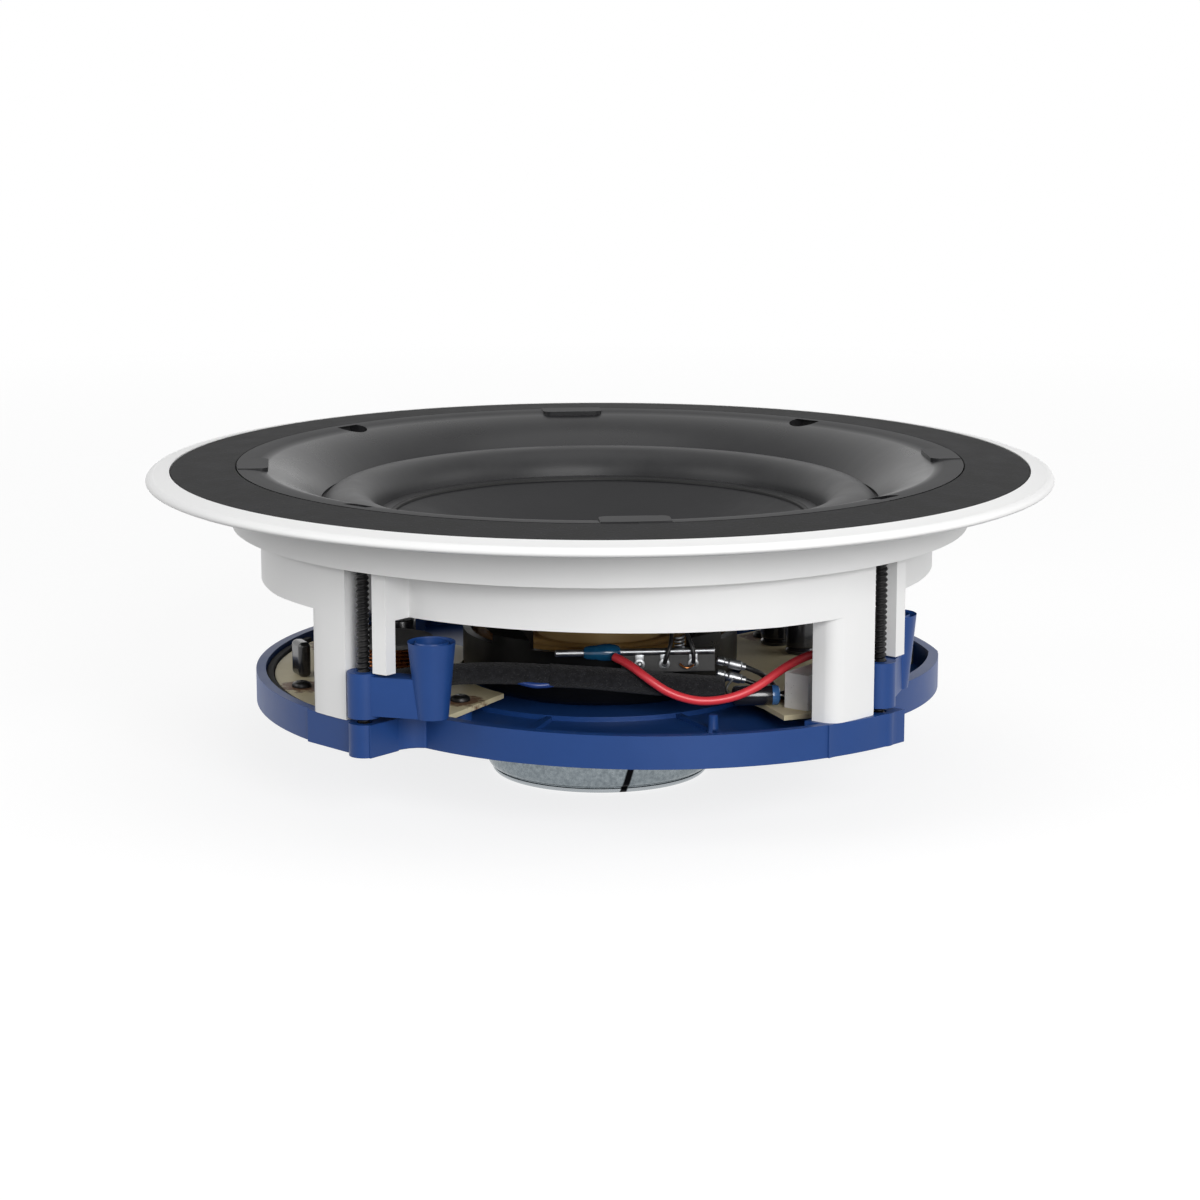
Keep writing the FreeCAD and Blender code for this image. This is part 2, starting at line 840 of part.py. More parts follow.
def make_tweeter():
    radius = size.coil_radius - size.tweeter_gap
    base = hub_floor
    bowl_floor = base + size.tweeter_stem
    bowl_top = bowl_floor + size.tweeter_depth
    bore = radius - size.tweeter_wall
    stem = size.tweeter_stem / 2 - size.edge_gap / 2
    cup = turned("tweeter_cup", [
        (0, base - size.plate_thickness),
        (stem, base - size.plate_thickness),
        (stem, base),
        (radius, base),
        (radius, bowl_top),
        (bore, bowl_top),
        (bore, bowl_floor),
        (0, bowl_floor),
    ])
    node(cup, "tweeter_cup")
    disc = bore - size.tweeter_gap * 2
    magnet_top = bowl_floor + size.tweeter_magnet_thickness
    magnet = cylinder("tweeter_magnet", disc, size.tweeter_magnet_thickness)
    node(place(magnet, 0, 0, bowl_floor), "tweeter_magnet")
    plate = cylinder("tweeter_plate", disc, size.tweeter_plate_thickness)
    node(place(plate, 0, 0, magnet_top), "tweeter_plate")
    hem = size.dome_radius + size.dome_hem * 2
    film = size.dome_film
    dome = turned("tweeter_dome", [
        (0, bowl_top + size.dome_rise, *cap_middle(size.dome_radius - film, size.dome_rise, bowl_top)),
        (0, bowl_top + film + size.dome_rise),
        (size.dome_radius, bowl_top + film, *cap_middle(size.dome_radius, size.dome_rise, bowl_top + film)),
        (hem, bowl_top + film),
        (hem, bowl_top),
        (size.dome_radius - film, bowl_top),
    ])
    node(dome, "tweeter_dome")
    throat = size.dome_radius + size.dome_hem
    seat = bowl_top + film
    flare_top = seat + size.waveguide_height
    lip = radius - film * 2
    guide = turned("tweeter_waveguide", [
        (throat, seat),
        (radius, seat),
        (radius, flare_top),
        (lip, flare_top),
        (throat, seat + film, throat + (lip - throat) * 0.35, seat + size.waveguide_height * 0.62),
    ])
    node(guide, "tweeter_waveguide")


def frame_outline(inset, shrink):
    """Rim outline, or its inside when inset and shrunk, with the clamps on the X and Y axes."""
    start = rim_start_radius - inset
    middle = clamp_radius - size.rim_middle_inset - inset
    end = clamp_radius + size.rim_end_reach - inset
    lobe = lobe_radius - inset
    left = left_lobe_radius - inset
    first = size.step_start_angle + shrink
    last = size.step_end_angle - shrink
    lobe_last = size.lobe_end_angle - shrink
    half_way = (first + last) / 2
    lobe_half = (first + lobe_last) / 2
    corners = []
    for turn in (0, 180):
        corners.append(polar(start, turn + first))
        corners.append((*polar(end, turn + last), *polar(middle, turn + half_way)))
        if turn == 0:
            # left lobe: round from end to end
            corners.append(polar(left, 90 + first))
            corners.append((*polar(left, 90 + lobe_last), *polar(left, 90 + lobe_half)))
        else:
            # right lobe: swells from a waist to the full lobe radius half-way round
            waist = (start + lobe) / 2
            corners.append(polar(start, 270 + first))
            corners.append((*polar(lobe, 270 + lobe_half), *polar(waist, 270 + first + size.waist_angle)))
            corners.append((*polar(lobe, 270 + lobe_last), *polar(lobe, 270 + lobe_half + size.waist_angle)))
    return corners


def make_rear_frame():
    body = new_body("rear_frame")
    pad(body, "tray", size.frame_height, frame_top, [frame_outline(as_size(0), as_size(0))])
    pocket(body, "tray_inside", floor_top, frame_top, [frame_outline(size.frame_wall, size.step_wall_angle)])
    half = size.channel_half_width
    margin = size.foot_margin
    foot_side = half + size.leg_width + margin
    foot_inside = housing_radius - size.leg_depth - margin
    foot_outside = housing_radius + size.foot_overhang
    pad(body, "foot", size.frame_height, frame_top, [[
        (foot_inside, -foot_side),
        (foot_outside - size.foot_taper, -foot_side),
        (foot_outside, size.boss_radius),
        (foot_inside, size.boss_radius),
    ]], count=4)
    pad(body, "boss", size.frame_height, frame_top,
        circles=[(clamp_radius, 0, size.boss_radius)], count=4)
    pad(body, "centre_ring", size.frame_height, hub_floor,
        circles=[(0, 0, size.centre_ring_radius)])
    rib_half = size.rib_thickness / 2
    rib_out = rim_start_radius - size.frame_wall / 2
    rib_turn = 180 / RIBS
    ring_inside = size.centre_ring_radius - size.rib_thickness
    rib_foot = []
    for radius, side in ((ring_inside, -1), (rib_out, -1), (rib_out, 1), (ring_inside, 1)):
        across, along = polar(radius, rib_turn)
        shift_x, shift_y = polar(rib_half * side, rib_turn + 90)
        rib_foot.append((across + shift_x, along + shift_y))
    pad(body, "rib", size.frame_height, floor_top + size.rib_rise, [rib_foot], count=RIBS)
    pocket(body, "can_hole", size.frame_height, hub_floor,
           circles=[(0, 0, size.can_radius + size.edge_gap)])
    screw_hole = size.screw_radius + size.screw_hole_gap
    pocket(body, "screw_socket", frame_top - size.screw_bury, frame_top,
           circles=[(clamp_radius, 0, screw_hole)], count=4)
    leg_middle = half + size.leg_width / 2
    fixing_out = housing_radius - size.leg_depth / 2
    pocket(body, "fixing_hole", size.frame_height, frame_top,
           circles=[(fixing_out, -leg_middle, size.fixing_radius + size.pilot_gap)], count=4)
    pocket(body, "fixing_sink", size.frame_height, size.frame_height + size.fixing_head_height,
           circles=[(fixing_out, -leg_middle, size.fixing_head_radius + size.pilot_gap)], count=4)
    posts = [(*turned_back(*spot(x, y)), size.board_post_radius) for x, y in BOARD_SCREWS]
    pad(body, "board_post", floor_top - size.floor_thickness / 2, board_height, circles=posts)
    turn_about_axis(body, CLAMP_TURN)
    node(body, "rear_frame")


def spot(across, along):
    """A place on the crossover boards, given in hundredths of the clamp radius."""
    return clamp_radius * (across / 100), clamp_radius * (along / 100)


def turned_back(x, y):
    """A point of the part in the frame that is turned until the clamps lie on the axes."""
    turn = math.radians(-CLAMP_TURN)
    return x * math.cos(turn) - y * math.sin(turn), x * math.sin(turn) + y * math.cos(turn)


def make_gaskets():
    lobes = {"left": left_lobe_radius, "right": lobe_radius}
    for label, (first, last) in GASKETS.items():
        body = new_body("gasket_" + label)
        outer = lobes[label] - size.frame_wall - size.edge_gap
        inner = outer - size.gasket_width
        middle = (first + last) / 2
        pad(body, "strip", floor_top, frame_top - size.gasket_rise, [[
            (*polar(inner, first), *polar(inner, middle)),
            polar(outer, first),
            (*polar(outer, last), *polar(outer, middle)),
            polar(inner, last),
        ]])
        node(body, "lobe_gasket_" + label)


def make_clamps():
    stow = size.dog_stow_angle.number
    for side, angle in CLAMPS.items():
        axis_x, axis_y = polar(clamp_radius, angle)
        seat = shelf_top + size.thread_gap
        low = frame_top - size.screw_bury + size.edge_gap
        head = size.screw_head_radius
        head_top = seat + size.screw_head_height
        recess = head / 2
        screw = turned("screw_" + side, [
            (0, low),
            (size.screw_radius - size.edge_gap, low),
            (size.screw_radius, low + size.edge_gap),
            (size.screw_radius, seat),
            (head, seat),
            (head, seat + size.screw_head_height * 0.6),
            (recess, head_top, head * 0.85, head_top - size.screw_head_height * 0.12),
            (0, head_top - size.screw_head_height / 2),
        ])
        node(place(screw, axis_x, axis_y, 0), "clamp_screw_" + side)
        dog = make_dog(side)
        place(dog, axis_x, axis_y, frame_top + size.dog_lift, angle + 90 + stow)
        node(dog, "clamp_dog_" + side)


def make_dog(side):
    """Clamp dog with its screw hole on the Z axis and its arm along X."""
    hub = cylinder("dog_hub_" + side, size.dog_hub_radius, size.dog_hub_height)
    arm = block("dog_arm_" + side, size.dog_reach, size.dog_arm_width, size.dog_arm_height)
    bind(arm, "Placement.Base.y", -(size.dog_arm_width / 2))
    bind(arm, "Placement.Base.z", size.dog_arm_lift)
    post_height = lower_collar_height - size.dog_clearance - frame_top - size.dog_lift - size.dog_arm_lift
    post = doc.addObject("Part::Cone", "dog_post_" + side)
    bind(post, "Radius1", size.dog_post_bottom)
    bind(post, "Radius2", size.dog_post_top)
    bind(post, "Height", post_height)
    bind(post, "Placement.Base.x", size.dog_reach)
    bind(post, "Placement.Base.z", size.dog_arm_lift)
    blank = fuse("dog_blank_" + side, [hub, arm, post])
    hole = cylinder("dog_hole_" + side, size.screw_radius + size.thread_gap, size.dog_hub_height)
    cup = cylinder("dog_cup_" + side, size.dog_cup_radius, size.dog_cup_depth)
    bind(cup, "Placement.Base.x", size.dog_reach)
    bind(cup, "Placement.Base.z", size.dog_arm_lift + post_height - size.dog_cup_depth)
    hollows = fuse("dog_hollows_" + side, [hole, cup])
    return cut("dog_" + side, blank, hollows)


def screw_at(name, x, y, seat, length, flip=False):
    """Pan-head screw with the underside of its head on the plane z = seat."""
    head = size.fixing_head_radius
    rise = size.fixing_head_height
    body = turned(name, [
        (0, -length),
        (size.fixing_radius, -length),
        (size.fixing_radius, 0),
        (head, 0),
        (head * 0.6, rise, head * 0.92, rise * 0.62),
        (0, rise),
    ])
    body.Placement = Placement(Vector(0, 0, 0), Rotation(Vector(1, 0, 0), 180 if flip else 0))
    bind(body, "Placement.Base.x", x)
    bind(body, "Placement.Base.y", y)
    bind(body, "Placement.Base.z", seat)
    return body


def make_fasteners():
    driver = []
    frame = []
    leg_middle = size.channel_half_width + size.leg_width / 2
    fixing_out = housing_radius - size.leg_depth / 2
    for turn in range(4):
        x, y = polar(driver_screw_radius, 90 * turn)
        reach = size.basket_sheet + size.shelf_thickness
        driver.append(screw_at(f"driver_screw_{turn}", x, y, flange_top, reach))
        out_x, out_y = polar(fixing_out, CLAMP_TURN + 90 * turn)
        side_x, side_y = polar(leg_middle, CLAMP_TURN + 90 * turn - 90)
        seat = size.frame_height + size.fixing_head_height
        length = size.rim_depth - size.fixing_head_height + size.fixing_length - size.pilot_end_gap
        x = out_x + side_x
        y = out_y + side_y
        frame.append(screw_at(f"frame_screw_{turn}", x, y, seat, length, flip=True))
    group("driver_screws", driver)
    group("frame_screws", frame)
    boards = []
    for index, (x, y) in enumerate(BOARD_SCREWS):
        boards.append(screw_at(f"board_screw_{index}", *spot(x, y), board_top, size.board_thickness))
    group("board_screws", boards)


def make_boards():
    near_hub = size.basket_hub_radius + size.board_margin
    clear = size.frame_wall + size.gasket_width + 2 * size.edge_gap
    lobe = lobe_radius - clear
    left_lobe = left_lobe_radius - clear
    left = new_body("board_left")
    pad(left, "sheet", board_height, board_top, [[
        spot(-47.8, -59.1),
        polar(near_hub + size.board_margin * 2, 227),
        (*polar(near_hub, 145), *polar(near_hub, 183)),
        spot(-56.3, 54.4),
        polar(left_lobe - size.board_margin, 150),
        (*polar(left_lobe - size.board_margin, 208), *polar(left_lobe, 179)),
    ]], circles=[(*spot(x, y), size.fixing_radius + size.pilot_gap) for x, y in BOARD_SCREWS if x < 0])
    node(left, "crossover_board_left")
    right = new_body("board_right")
    pad(right, "sheet", board_height, board_top, [[
        spot(41.3, -52.5),
        spot(45, -66.6),
        spot(60, -61.9),
        spot(61.7, -51.6),
        polar(rim_start_radius - size.foot_margin * 3, 328),
        (*polar(lobe, 8), *polar((rim_start_radius + lobe) / 2 - size.board_margin, 350)),
        (*polar(lobe, 29), *polar(lobe, 20)),
        spot(61.9, 52.5),
        polar(near_hub, 42),
        (*polar(near_hub, 318), *polar(near_hub, 0)),
    ]], circles=[(*spot(x, y), size.fixing_radius + size.pilot_gap) for x, y in BOARD_SCREWS if x > 0])
    node(right, "crossover_board_right")


def make_components():
    flange = size.bobbin_flange
    core = turned("inductor_core", [
        (0, 0),
        (size.inductor_radius, 0),
        (size.inductor_radius, flange),
        (size.bobbin_core, flange),
        (size.bobbin_core, size.inductor_height - flange),
        (size.inductor_radius, size.inductor_height - flange),
        (size.inductor_radius, size.inductor_height),
        (0, size.inductor_height),
    ])
    node(place(core, *spot(*INDUCTOR), board_top), "inductor_core")
    winding = turned("inductor_winding", [
        (size.bobbin_core, flange),
        (size.inductor_radius - flange, flange),
        (size.inductor_radius - flange, size.inductor_height - flange),
        (size.bobbin_core, size.inductor_height - flange),
    ])
    node(place(winding, *spot(*INDUCTOR), board_top), "inductor_winding")
    cans = []
    for index, (x, y) in enumerate(CAPACITORS):
        radius = size.can_cap_radius
        top = size.can_cap_height
        can = turned(f"capacitor_{index}", [
            (0, 0),
            (radius, 0),
            (radius, top * 0.1),
            (radius, top * 0.22, radius * 0.88, top * 0.16),
            (radius, top),
            (0, top),
        ])
        cans.append(place(can, *spot(x, y), board_top))
    group("electrolytic_capacitors", cans)
    film = cylinder("film_capacitor", size.film_cap_radius, size.film_cap_length)
    film.Placement = Placement(Vector(0, 0, 0), Rotation(Vector(0, 1, 0), 90))
    film_x, film_y = spot(*FILM_CAPACITOR)
    bind(film, "Placement.Base.x", film_x)
    bind(film, "Placement.Base.y", film_y)
    bind(film, "Placement.Base.z", board_top + size.film_cap_radius)
    node(film, "film_capacitor")
    resistor = block("cement_resistor", size.resistor_length, size.resistor_width, size.resistor_height)
    node(place(resistor, *spot(*RESISTOR), board_top, RESISTOR_TURN), "cement_resistor")
    fuse_body = block("fuse", size.fuse_thickness, size.fuse_width, size.fuse_height)
    node(place(fuse_body, *spot(*FUSE), board_top, FUSE_TURN), "fuse")


def along_x(thing, x, y, z, dip=0):
    """Lay a piece that was made along Z along X, with its far end lower by the dip angle."""
    thing.Placement = Placement(Vector(0, 0, 0), Rotation(Vector(0, 1, 0), 90 + dip))
    bind(thing, "Placement.Base.x", x)
    bind(thing, "Placement.Base.y", y)
    bind(thing, "Placement.Base.z", z)
    return thing


def make_wiring():
    low = tag_top - size.tag_width
    middle = -(size.tag_offset + size.tag_thickness / 2)
    strip = block("tag_strip", size.tag_length, size.tag_thickness, size.tag_width)
    node(place(strip, size.tag_start, -(size.tag_offset + size.tag_thickness), low), "tag_strip")
    # The bracket's inner end is cut to the round of the basket hub
    gauge = size.bracket_sheet
    stay_low = tag_top - size.tag_width / 2 - gauge
    bracket_start = size.tag_start + gauge
    stay = block("bracket_stay", size.bracket_width, size.tag_offset - size.can_radius, gauge)
    place(stay, bracket_start, -size.tag_offset, stay_low)
    upright = block("bracket_upright", size.bracket_width, gauge, tag_top - stay_low)
    place(upright, bracket_start, -size.tag_offset, stay_low)
    blank = fuse("bracket_blank", [stay, upright])
    hub = cylinder("bracket_hub", size.basket_hub_radius, tag_top)
    node(cut("tag_bracket", blank, hub), "tag_bracket")
    rail_height = tag_top + size.rail_radius
    rail = cylinder("tag_rail", size.rail_radius, size.tag_length + size.rail_overhang)
    node(along_x(rail, size.tag_start - size.rail_overhang, middle, rail_height), "tag_rail")
    tube = cylinder("sleeve_tube", size.sleeve_radius, size.sleeve_length)
    bore = cylinder("sleeve_bore", size.rail_radius, size.sleeve_length)
    sleeve = cut("crimp_sleeve", tube, bore)
    node(along_x(sleeve, size.tag_start - size.sleeve_start, middle, rail_height), "crimp_sleeve")
    slope = size.tab_slope.number
    strip_end = size.tag_start + size.tag_length
    tab_start = strip_end + size.tab_radius * math.sin(math.radians(slope)) + size.thread_gap
    tabs = []
    for index in range(2):
        tab = cylinder(f"tab_{index}", size.tab_radius, size.tab_length)
        height = tag_top - size.tab_inset - size.tab_pitch * index
        tabs.append(along_x(tab, tab_start, middle, height, slope))
    group("push_on_terminals", tabs)
    make_cord("felt_harness", size.harness_radius.number, [
        (*spot(-73.2, -32.8), board_top + 4.2), (*spot(-63.8, -40.8), 39), (*spot(-50.7, -46.9), 42.2),
        (-37, -53.6, 43.4), (-19, -55, 42.6), (-1, -55.4, 41), (16, -55.8, 39), (32, -55.6, 38),
    ])
    make_cord("red_lead", size.lead_radius.number, [
        (-0.5, -53.8, 47.4), (3, -57.8, 46.4), (8, -61.6, 42.8), (15.5, -63, 37.6), (26, -63.4, 35),
        (*spot(36.6, -58.5), 37.6), (*spot(49.5, -52.6), 45.8), (*spot(61, -46.9), 47.8),
        (*spot(68.9, -40.8), 44), (*spot(71.6, -37.5), 38.5),
        (*spot(71.6, -37.5), board_top + size.thread_gap),
    ])


def make_cord(label, radius, points):
    """Round tube along straight runs that are joined by tangent arcs."""
    corners = [Vector(*(as_size(amount).number for amount in point)) for point in points]
    edges = []
    bends = []
    last = corners[0]
    for before, corner, after in zip(corners, corners[1:], corners[2:]):
        inward = (before - corner).normalize()
        outward = (after - corner).normalize()
        turn = math.pi - inward.getAngle(outward)
        setback = BEND_SHARE * min((before - corner).Length, (after - corner).Length)
        bends.append(setback / math.tan(turn / 2))
        start = corner + inward * setback
        end = corner + outward * setback
        bisector = (inward + outward).normalize()
        depth = bends[-1] / math.cos(turn / 2) - bends[-1]
        edges.append(Part.LineSegment(last, start).toShape())
        edges.append(Part.Arc(start, corner + bisector * depth, end).toShape())
        last = end
    edges.append(Part.LineSegment(last, corners[-1]).toShape())
    path = Part.Wire(edges)
    section = Part.Wire(Part.Circle(corners[0], corners[1] - corners[0], radius).toShape())
    tube = path.makePipeShell([section], True, False)
    thing = doc.addObject("Part::Feature", label)
    thing.Shape = tube
    share = tube.Volume / (math.pi * radius * radius * path.Length)
    smallest = min(bends) / (2 * radius)
    print(f"{label}: length {path.Length:.1f}, bend {smallest:.1f} diameters, volume share {share:.4f}")
    node(thing, label)


def make_terminal():
    body = new_body("terminal")
    half = size.terminal_length / 2
    near = size.terminal_radius - size.terminal_depth / 2
    far = size.terminal_radius + size.terminal_depth / 2
    low = size.frame_height - size.terminal_height
    pad(body, "housing", low, size.frame_height, [[(-half, near), (half, near), (half, far), (-half, far)]])
    gap = size.button_gap
    spot = size.terminal_length / 4
    for side in (-1, 1):
        middle = spot * side
        wide = size.button_length / 2 + gap
        deep = size.button_depth / 2 + gap
        pocket(body, f"button_well_{side + 1}", low, low + size.button_height, [[
            (middle - wide, size.terminal_radius - deep),
            (middle + wide, size.terminal_radius - deep),
            (middle + wide, size.terminal_radius + deep),
            (middle - wide, size.terminal_radius + deep),
        ]])
    node(body, "terminal_block")
    for label, side in (("red", -1), ("black", 1)):
        button = block("button_" + label, size.button_length, size.button_depth, size.button_height)
        place(button, spot * side - size.button_length / 2,
              size.terminal_radius - size.button_depth / 2, low - size.button_stand)
        node(button, "terminal_button_" + label)


make_bezel()
make_front_rings()
make_driver()
make_motor()
make_tweeter()
make_rear_frame()
make_gaskets()
make_clamps()
make_fasteners()
make_boards()
make_components()
make_wiring()
make_terminal()
doc.recompute()

for thing in doc.Objects:
    if "Invalid" in thing.State or "Error" in thing.State:
        raise RuntimeError(f"{thing.Name} is {thing.State}")
for thing in nodes:
    if thing.Shape.isNull() or not thing.Shape.isValid():
        raise RuntimeError(f"{thing.Label} has no valid shape")

os.makedirs("parts", exist_ok=True)
for thing in nodes:
    thing.Shape.exportStep(f"parts/{thing.Label}.step")
print(f"{len(nodes)} nodes written")
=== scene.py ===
import json
import math

import bmesh
import bpy
from mathutils import Matrix, Vector

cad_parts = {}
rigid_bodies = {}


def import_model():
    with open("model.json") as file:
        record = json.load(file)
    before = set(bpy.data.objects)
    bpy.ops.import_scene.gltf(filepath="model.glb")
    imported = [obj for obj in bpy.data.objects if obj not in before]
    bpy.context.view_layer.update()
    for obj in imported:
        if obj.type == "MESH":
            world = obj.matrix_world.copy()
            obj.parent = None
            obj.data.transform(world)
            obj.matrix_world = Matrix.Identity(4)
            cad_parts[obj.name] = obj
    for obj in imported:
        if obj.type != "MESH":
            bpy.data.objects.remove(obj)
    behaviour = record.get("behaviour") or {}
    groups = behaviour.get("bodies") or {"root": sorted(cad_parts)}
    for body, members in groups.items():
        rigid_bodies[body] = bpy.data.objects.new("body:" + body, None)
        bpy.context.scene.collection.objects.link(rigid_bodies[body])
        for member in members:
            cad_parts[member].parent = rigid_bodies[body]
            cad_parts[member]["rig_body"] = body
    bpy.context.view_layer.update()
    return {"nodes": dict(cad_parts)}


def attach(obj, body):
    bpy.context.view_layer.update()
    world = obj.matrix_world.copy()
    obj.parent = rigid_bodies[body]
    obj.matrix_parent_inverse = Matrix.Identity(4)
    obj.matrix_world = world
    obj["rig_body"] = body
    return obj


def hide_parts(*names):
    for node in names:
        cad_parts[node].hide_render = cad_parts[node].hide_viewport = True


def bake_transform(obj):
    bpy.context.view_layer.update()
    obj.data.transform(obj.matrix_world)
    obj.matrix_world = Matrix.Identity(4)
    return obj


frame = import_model()
scene = bpy.context.scene
scene.view_settings.view_transform = "Standard"
mm = 0.001
print("frame loaded:", len(frame["nodes"]), "nodes")


# camera at the photograph's angle
shot = {"place": (-0.0888, -0.9757, 0.2542), "aim": (0, 0, 0.05377), "lens": 95.7, "sensor": 36}


def makeCamera():
    data = bpy.data.cameras.new("camera")
    data.lens = shot["lens"]
    data.sensor_width = shot["sensor"]
    camera = bpy.data.objects.new("camera", data)
    scene.collection.objects.link(camera)
    camera.location = shot["place"]
    look = Vector(shot["aim"]) - Vector(shot["place"])
    camera.rotation_euler = look.to_track_quat("-Z", "Y").to_euler()
    scene.camera = camera


makeCamera()
print("camera set")


# small helpers for shader trees
def addNode(tree, kind, **values):
    item = tree.nodes.new(kind)
    for key, value in values.items():
        setattr(item, key, value)
    return item


def newGroup(name, inputs, outputs):
    tree = bpy.data.node_groups.new(name, "ShaderNodeTree")
    for label, kind, start in inputs:
        socket = tree.interface.new_socket(label, in_out="INPUT", socket_type=kind)
        if start is not None:
            socket.default_value = start
    for label, kind in outputs:
        tree.interface.new_socket(label, in_out="OUTPUT", socket_type=kind)
    return tree, addNode(tree, "NodeGroupInput"), addNode(tree, "NodeGroupOutput")


def mapRange(tree, source, low, high, toLow, toHigh):
    item = addNode(tree, "ShaderNodeMapRange")
    item.inputs["From Min"].default_value = low
    item.inputs["From Max"].default_value = high
    item.inputs["To Min"].default_value = toLow
    item.inputs["To Max"].default_value = toHigh
    tree.links.new(source, item.inputs["Value"])
    return item.outputs["Result"]


def math2(tree, operation, first, second):
    item = addNode(tree, "ShaderNodeMath", operation=operation)
    for index, value in enumerate((first, second)):
        if isinstance(value, (int, float)):
            item.inputs[index].default_value = value
        else:
            tree.links.new(value, item.inputs[index])
    return item.outputs[0]


# ranges that turn noise, distance or a normal into a mask
spans = {"cloud": (0.34, 0.66), "dot": (0.12, 0.3), "down": (-0.25, -0.05), "flat": (0.95, 0.99),
         "ragged": (0.3, 0.7), "raggedBy": (-0.35, 0.35), "stain": (0.75, 1.05), "stainStrength": 0.9}


# grain of a moulded or cast skin: fine height and a slow cloud
def makeSkinGroup():
    tree, into, out = newGroup(
        "skinGrain",
        [("Vector", "NodeSocketVector", None), ("Grain", "NodeSocketFloat", 1500.0),
         ("Cloud", "NodeSocketFloat", 30.0)],
        [("Height", "NodeSocketFloat"), ("Mottle", "NodeSocketFloat")])
    fine = addNode(tree, "ShaderNodeTexNoise")
    fine.inputs["Detail"].default_value = 3
    slow = addNode(tree, "ShaderNodeTexNoise")
    slow.inputs["Detail"].default_value = 5
    slow.inputs["Roughness"].default_value = 0.6
    for noise, scale in ((fine, "Grain"), (slow, "Cloud")):
        tree.links.new(into.outputs["Vector"], noise.inputs["Vector"])
        tree.links.new(into.outputs[scale], noise.inputs["Scale"])
    tree.links.new(fine.outputs["Fac"], out.inputs["Height"])
    tree.links.new(mapRange(tree, slow.outputs["Fac"], *spans["cloud"], 0, 1), out.inputs["Mottle"])
    return tree


# scattered specks of dust or flock
def makeSpeckGroup():
    tree, into, out = newGroup(
        "dustSpecks",
        [("Vector", "NodeSocketVector", None), ("Scale", "NodeSocketFloat", 400.0),
         ("Share", "NodeSocketFloat", 0.1)],
        [("Mask", "NodeSocketFloat")])
    cells = addNode(tree, "ShaderNodeTexVoronoi")
    tree.links.new(into.outputs["Vector"], cells.inputs["Vector"])
    tree.links.new(into.outputs["Scale"], cells.inputs["Scale"])
    split = addNode(tree, "ShaderNodeSeparateColor")
    tree.links.new(cells.outputs["Color"], split.inputs["Color"])
    chosen = math2(tree, "LESS_THAN", split.outputs["Red"], into.outputs["Share"])
    dot = mapRange(tree, cells.outputs["Distance"], *spans["dot"], 1, 0)
    tree.links.new(math2(tree, "MULTIPLY", chosen, dot), out.inputs["Mask"])
    return tree


skinGroup = makeSkinGroup()
speckGroup = makeSpeckGroup()


def placeGroup(tree, group, vector, **values):
    item = addNode(tree, "ShaderNodeGroup", node_tree=group)
    tree.links.new(vector, item.inputs["Vector"])
    for key, value in values.items():
        item.inputs[key].default_value = value
    return item


def mixColour(tree, mask, first, second):
    item = addNode(tree, "ShaderNodeMix", data_type="RGBA")
    for socket, value in ((item.inputs[6], first), (item.inputs[7], second)):  # the node's colour sockets
        if isinstance(value, tuple):
            socket.default_value = (*value, 1)
        else:
            tree.links.new(value, socket)
    tree.links.new(mask, item.inputs[0])
    return item.outputs[2]


# A finish is a Principled shader fed by the skin group; the look dictionary holds its values.
def makeFinish(name, look):
    material = bpy.data.materials.new(name)
    material.use_nodes = True
    tree = material.node_tree
    shader = tree.nodes["Principled BSDF"]
    place = addNode(tree, "ShaderNodeTexCoord").outputs["Object"]
    if "stretch" in look:
        mapping = addNode(tree, "ShaderNodeMapping")
        mapping.inputs["Scale"].default_value = look["stretch"]
        tree.links.new(place, mapping.inputs["Vector"])
        place = mapping.outputs["Vector"]
    skin = placeGroup(tree, skinGroup, place, Grain=look["grain"], Cloud=look["cloud"])
    colour = mixColour(tree, skin.outputs["Mottle"], look["colour"], look["shade"])
    if "specks" in look:
        scale, share, tint = look["specks"]
        dust = placeGroup(tree, speckGroup, place, Scale=scale, Share=share)
        colour = mixColour(tree, dust.outputs["Mask"], colour, tint)
    tree.links.new(colour, shader.inputs["Base Color"])
    low, high = look["rough"]
    tree.links.new(mapRange(tree, skin.outputs["Mottle"], 0, 1, low, high), shader.inputs["Roughness"])
    bump = addNode(tree, "ShaderNodeBump")
    bump.inputs["Strength"].default_value = look["bump"]
    bump.inputs["Distance"].default_value = look.get("deep", 0.05) * mm
    tree.links.new(skin.outputs["Height"], bump.inputs["Height"])
    tree.links.new(bump.outputs["Normal"], shader.inputs["Normal"])
    for socket, value in look.get("sockets", {}).items():
        shader.inputs[socket].default_value = value
    return material


# a tint laid over a finish where a mask says so
def overlay(material, mask, tint):
    tree = material.node_tree
    socket = tree.nodes["Principled BSDF"].inputs["Base Color"]
    tree.links.new(mixColour(tree, mask, socket.links[0].from_socket, tint), socket)


def splitPlace(tree, output="Object"):
    split = addNode(tree, "ShaderNodeSeparateXYZ")
    tree.links.new(addNode(tree, "ShaderNodeTexCoord").outputs[output], split.inputs[0])
    return split.outputs


# faces that look down
def downMask(tree):
    return mapRange(tree, splitPlace(tree, "Normal")["Z"], *spans["down"], 1, 0)


# flat tops are as matt as the value says
def dullTops(material, rough):
    tree = material.node_tree
    socket = tree.nodes["Principled BSDF"].inputs["Roughness"]
    flat = mapRange(tree, splitPlace(tree, "Normal")["Z"], *spans["flat"], 0, rough)
    tree.links.new(math2(tree, "MAXIMUM", socket.links[0].from_socket, flat), socket)


def heightMask(tree, full, none):
    return mapRange(tree, splitPlace(tree)["Z"], full * mm, none * mm, 1, 0)


